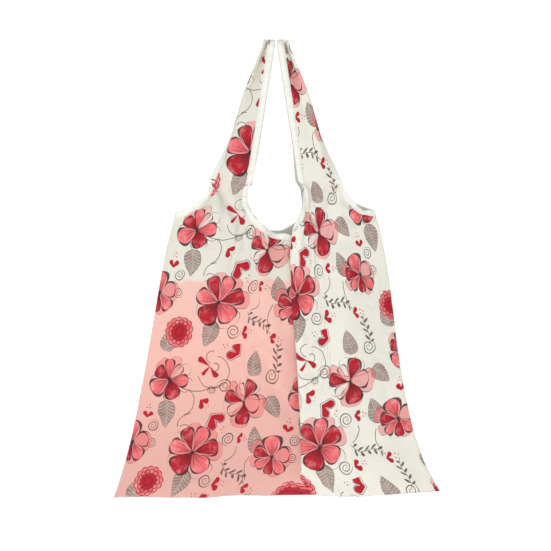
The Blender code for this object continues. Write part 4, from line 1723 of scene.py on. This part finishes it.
@dataclass(frozen=True)
class Pouch:
    """Storage pouch inside the back of the mouth: two cloths, bound edges, a flap and a press stud."""

    corner: float = 0.013
    flap_corner: float = 0.009
    cloth: float = 0.0005
    tab_thick: float = 0.0008
    wave: float = 0.0003
    binding: float = 0.0060
    skin: float = 0.0007
    edge_in: float = 0.0010
    printed_from: tuple[float, float] = (0.31, 0.02)

    def sheet(
        self, half: float, low: float, high: float, corner: float, y: float, bulge: float
    ) -> tuple[Array, Array]:
        """Rectangle with two round lower corners.

        Half the width at a height d above the foot is half - r + sqrt(r^2 - (r - d)^2) up to the
        corner's radius r. The cloth bows towards -y by the bulge times (1 - t^4), with a light
        ripple.

        Args:
            half: Half the width.
            low: Height of the lower edge.
            high: Height of the upper edge.
            corner: Radius of the lower corners.
            y: Depth of the cloth.
            bulge: How far its middle bows.

        Returns:
            Points and flat (u, v), both as grids.
        """
        t, k = np.linspace(-1, 1, 49), np.linspace(0, 1, 45)[:, None] ** 1.3
        d = k * (high - low)
        width = half - corner + np.sqrt(np.maximum(corner**2 - (corner - np.minimum(d, corner)) ** 2, 0))
        x, z = t * width, np.broadcast_to(low + d, (45, 49))
        wave = ripple(x / 0.03, z / 0.03, 5, 1.0) * self.wave
        depth = y - bulge * (1 - t**4) * (1 - (2 * k - 1) ** 4) + wave
        return np.stack([x, depth, z], axis=-1), np.stack([x, z - low], axis=-1)

    def cloth_piece(self, name: str, grid: tuple[Array, Array], outer: Material, inner: Material) -> Piece:
        """Closed thin cloth from a grid, with its place on the print."""
        piece = grid_cloth(name, grid, self.cloth, outer, inner)
        add_uv(piece, "Print", np.tile(grid[1].reshape(-1, 2) + self.printed_from, (2, 1)))
        return piece

    def border(self, half: float, low: float, high: float, corner: float) -> tuple[Array, Array, Array]:
        """Path down the left edge, round both lower corners and up the right edge.

        Returns:
            Points (x, z), unit vectors towards the inside, and length along the path.
        """
        arc = np.linspace(0, math.pi / 2, 9)
        side = np.linspace(high, low + corner, 24)
        left = np.stack([np.full(24, -half), side], axis=-1)
        foot = np.linspace(-half + corner, half - corner, 28)
        bottom = np.stack([foot, np.full(28, low)], axis=-1)
        first = (-half + corner, low + corner) - corner * np.stack([np.cos(arc), np.sin(arc)], axis=-1)
        first = first[1:-1]
        path = np.concatenate([left, first, bottom, first[::-1] * (-1, 1), left[::-1] * (-1, 1)])
        run = unit(np.gradient(path, axis=0))
        inward = np.stack([-run[:, 1], run[:, 0]], axis=-1)
        return path, inward, distance_along(path)

    def bound(
        self, name: str, border: tuple[Array, Array, Array], front: float, back: float, tape: Material
    ) -> Piece:
        """Tape folded round an edge, from a front depth to a back depth.

        Args:
            name: Name of the piece.
            border: Path, inward vectors and length.
            front: Depth of the outer face of the front cloth.
            back: Depth of the outer face of the back cloth.
            tape: Material.

        Returns:
            The new object.
        """
        path, inward, length = border
        s, c = self.skin, self.binding
        into = np.array([c, 0.95 * c, 0.66 * c, 0.33 * c, 0.05 * c, -0.7 * s, -s])
        lift = np.array([0.25 * s, 0.85 * s, s, s, 0.85 * s, 0.1 * s, -1.2 * s])
        into = np.concatenate([into, into[::-1]])
        depth = np.concatenate([front - lift, back + lift[::-1]])
        inner_into = np.where(into < 0, into + 0.0003, into - 0.0001)
        inner = np.concatenate([front - lift * 0.4, back + lift[::-1] * 0.4])
        into, depth = np.concatenate([into, inner_into[::-1]]), np.concatenate([depth, inner[::-1]])
        place = path[:, None] + inward[:, None] * into[None, :, None]
        y = np.broadcast_to(depth, place.shape[:2])
        rings = np.stack([place[..., 0], y, place[..., 1]], axis=-1)
        u = np.broadcast_to(length[:, None], y.shape)
        across = np.broadcast_to(np.where(into > 0, into + 0.0026, 0.0), y.shape)
        return tube(name, rings, np.stack([u, across], axis=-1), tape)

    def build(self, printed: Material, reverse: Material, tape: Material, plastic: Material) -> None:
        """Make the pouch from the boxes of its own nodes, and dress its press stud.

        Args:
            printed: Printed cloth.
            reverse: Its paler side.
            tape: Edging tape.
            plastic: Finish of the stud and the socket.
        """
        back, front, flap, tab = (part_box(n) for n in ("pouch_back", "pouch_front", "pouch_flap", "pouch_tab"))
        half, low, high = back[1][0] - self.edge_in, back[0][2] + self.edge_in, back[1][2]
        back_y, front_y, flap_y = ((b[0][1] + b[1][1]) / 2 for b in (back, front, flap))
        inside = self.sheet(half, low, high, self.corner, back_y, 0.0)
        outside = self.sheet(half, low, high, self.corner, front_y, 0.0005)
        lid = self.lid(half, flap[0][2] + self.edge_in, flap[1][2], flap_y, front_y)
        sheets = (
            (inside, "pouch_back", "storage_pouch", high - low, "pouch_tab_tape"),
            (outside, "pouch_front", "storage_pouch", high - low, "pouch_binding"),
            (lid, "pouch_flap", "pouch_lid", flap[1][2] - flap[0][2], "snap_stud"),
        )
        border = self.border(half, low, high, self.corner)
        for grid, node, body, tall, rests in sheets:
            piece = self.cloth_piece(f"{node}_cloth", grid, printed, reverse)
            attach(piece, (node,), body)
        piece = self.bound("pouch_binding", border, front_y - 0.0003, back_y + 0.0003, tape)
        attach(piece, ("pouch_side_tape",), "storage_pouch")
        edge = self.border(half, flap[0][2] + self.edge_in, flap[1][2] - 0.002, self.flap_corner)
        piece = self.bound("pouch_flap_binding", edge, flap_y - 0.0002, flap_y + 0.0002, tape)
        attach(piece, ("pouch_flap",), "pouch_lid")
        piece = self.tab(tab, tape)
        attach(piece, ("pouch_tab",), "storage_pouch")
        for node in ("snap_stud", "snap_socket"):
            dress_node(node, plastic)

    def lid(self, half: float, low: float, high: float, y: float, front_y: float) -> tuple[Array, Array]:
        """Flap cloth, which rolls back towards the pouch over its top 5 mm."""
        points, uv = self.sheet(half, low, high, self.flap_corner, y, 0.0)
        roll = smooth(high - 0.005, high, points[..., 2])
        points[..., 1] += roll**2 * (front_y - y) * 0.55
        return points, uv

    def tab(self, box: Sequence[Sequence[float]], tape: Material) -> Piece:
        """Doubled tape from the pouch up to the neck, bowed by a small sine along its length."""
        x = np.linspace(box[0][0] + 0.0003, box[1][0] - 0.0003, 15)
        t = np.linspace(0, 1, 21)[:, None]
        z = mix(box[0][2] - 0.004, box[1][2], t)
        y = (box[0][1] + box[1][1]) / 2 + 0.0006 * np.sin(t * math.pi) + 0.0009 * smooth(0.25, 0.0, t)
        points = np.stack(np.broadcast_arrays(x, y, z), axis=-1)
        uv = np.stack(np.broadcast_arrays(z - z[0], x * 0.8), axis=-1)
        return grid_cloth("pouch_tab_tape", (points, uv), self.tab_thick, tape, tape)


@dataclass(frozen=True)
class CareLabel:
    """Blank satin label, folded double and caught in the left side seam."""

    curl: float = 0.18
    gap: float = 0.0004
    thick: float = 0.00022
    caught: float = 0.004

    def build(self, satin: Material, bag: Bag) -> None:
        """Make the label: it runs in from the seam, folds at its free end and comes back.

        Args:
            satin: Its finish.
            bag: The hung bag, whose panels it stays between.
        """
        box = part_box("care_label")
        reach, tall = box[1][0] - box[0][0], box[1][2] - box[0][2]
        s = np.linspace(0, 2, 57)
        out = 1 - np.abs(s - 1)
        side = np.clip((s - 1) * 18, -1, 1)
        k = np.linspace(0, 1, 25)[:, None]
        x = box[0][0] - self.caught + (reach + self.caught) * out
        z = box[0][2] + tall * k + 0.0012 * out * np.sin(k * 3.0)
        low, high = bag.between(*np.broadcast_arrays(x, z))
        share = 0.5 + self.curl * out**2 * np.sin(k * 2.2 - 0.6)
        y = mix(low, high, share) + self.gap * side * smooth(0.0, 0.3, out)
        points = np.stack(np.broadcast_arrays(x, y, z), axis=-1)
        uv = np.stack(np.broadcast_arrays(out * reach, k * tall), axis=-1)
        piece = grid_cloth("care_label_satin", (points, uv), self.thick, satin, satin)
        attach(piece, ("care_label",), "bag_body")


# ---------------------------------------------------------------------------------------------
# Studio


@dataclass(frozen=True)
class Studio:
    """Camera, soft lights and a pale floor that curves up behind the bag."""

    lens: float = 85.0
    frame_width: float = 0.8596
    centre: tuple[float, float] = (-0.0008, -0.3643)
    floor: float = -0.86
    wall: float = 3.1
    tall: float = 4.5
    reach: float = 6.0
    backdrop_bend: float = 0.9

    def build(self) -> None:
        """Make the camera, lights, world and backdrop."""
        distance = self.frame_width * self.lens / 36.0
        camera = bpy.data.cameras.new("camera")
        camera.lens = self.lens
        camera_object = bpy.data.objects.new("camera", camera)
        camera_object.location = (self.centre[0], -distance, self.centre[1])
        camera_object.rotation_euler = (math.pi / 2, 0, 0)
        bpy.context.scene.collection.objects.link(camera_object)
        bpy.context.scene.camera = camera_object
        self.light("key", (0.1, -2.15, 0.5), 0.9, 14.0)
        self.light("side", (-1.7, -0.9, 0.4), 0.7, 8.5)
        self.light("top", (0.5, -0.3, 1.5), 0.9, 5.0)
        world = bpy.data.worlds.new("studio")
        world.use_nodes = True
        background = world.node_tree.nodes["Background"]
        background.inputs["Color"].default_value = (1.0, 1.0, 1.0, 1.0)
        background.inputs["Strength"].default_value = 0.33
        bpy.context.scene.world = world
        bpy.context.scene.view_settings.view_transform = "Standard"
        self.backdrop()

    def light(self, name: str, place: tuple[float, float, float], size: float, power: float) -> None:
        """An area light that looks at the middle of the bag."""
        data = bpy.data.lights.new(name, "AREA")
        data.size, data.energy = size, power
        lamp = bpy.data.objects.new(name, data)
        lamp.location = place
        aim = Vector((0, 0, self.centre[1])) - Vector(place)
        lamp.rotation_euler = aim.to_track_quat("-Z", "Y").to_euler()
        bpy.context.scene.collection.objects.link(lamp)

    def backdrop(self) -> None:
        """Floor and wall in one sheet: the section is a line, a quarter circle and a line."""
        turn, bend = np.linspace(0, math.pi / 2, 17), self.backdrop_bend
        y = np.concatenate([[-self.reach], self.wall - bend + bend * np.sin(turn), [self.wall]])
        z = np.concatenate([[0.0], bend - bend * np.cos(turn), [self.tall]]) + self.floor
        x = np.array([-self.reach, self.reach])
        points = np.stack(np.broadcast_arrays(x[None, :], y[:, None], z[:, None]), axis=-1)
        mesh = bpy.data.meshes.new("backdrop")
        index = np.arange(2 * len(y)).reshape(len(y), 2)
        mesh.from_pydata(points.reshape(-1, 3).tolist(), [], quad_faces(index).tolist())
        mesh.shade_smooth()
        material, shader = new_material("backdrop_paint")
        paint = {"Base Color": (0.94, 0.94, 0.94, 1.0), "Roughness": 1.0}
        glow = {"Emission Color": (1.0, 1.0, 1.0, 1.0), "Emission Strength": 0.56}
        for name, value in (paint | glow).items():
            shader.inputs[name].default_value = value
        mesh.materials.append(material)
        backdrop = bpy.data.objects.new("backdrop", mesh)
        bpy.context.scene.collection.objects.link(backdrop)
        backdrop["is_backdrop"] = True


def main() -> None:
    """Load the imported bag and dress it."""
    logging.basicConfig(level=logging.INFO, format="%(name)s: %(message)s")
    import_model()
    cad_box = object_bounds()
    bag = Bag(foot=cad_box[0][2])
    bag.hang()
    prints, weave, stitches = FloralPrint().build(), weave_group(), stitch_group()
    printed = PrintedCloth("printed_cloth", bump=0.55).make(prints, weave)
    # The front left half gets its own ground, painted darker than the printed cloth's as shade on the less lit
    # half; below a ragged line it turns pink.
    blushed_shaded = PrintedCloth("blushed_cloth", ground=linear(230, 227, 214), blush_top=0.340, bump=0.55)
    blushed_shaded = blushed_shaded.make(prints, weave)
    inside = PrintedCloth("cloth_reverse", reverse=True).make(prints, weave)
    tape = TapeCloth("edge_tape").make(weave, stitches)
    thread = SergedThread("overlock_thread").make(weave)
    bag.sew_panels(printed, inside, blushed_shaded)
    trim = Trim(bag, tape, thread)
    trim.tapes()
    trim.seams()
    trim.joins(printed)
    Pouch().build(printed, inside, tape, SnapPlastic().make())
    CareLabel().build(LabelSatin("label_satin", sheen=0.4, crinkle=0.6).make(weave, stitches), bag)
    Studio().build()


if __name__ == "__main__":
    main()
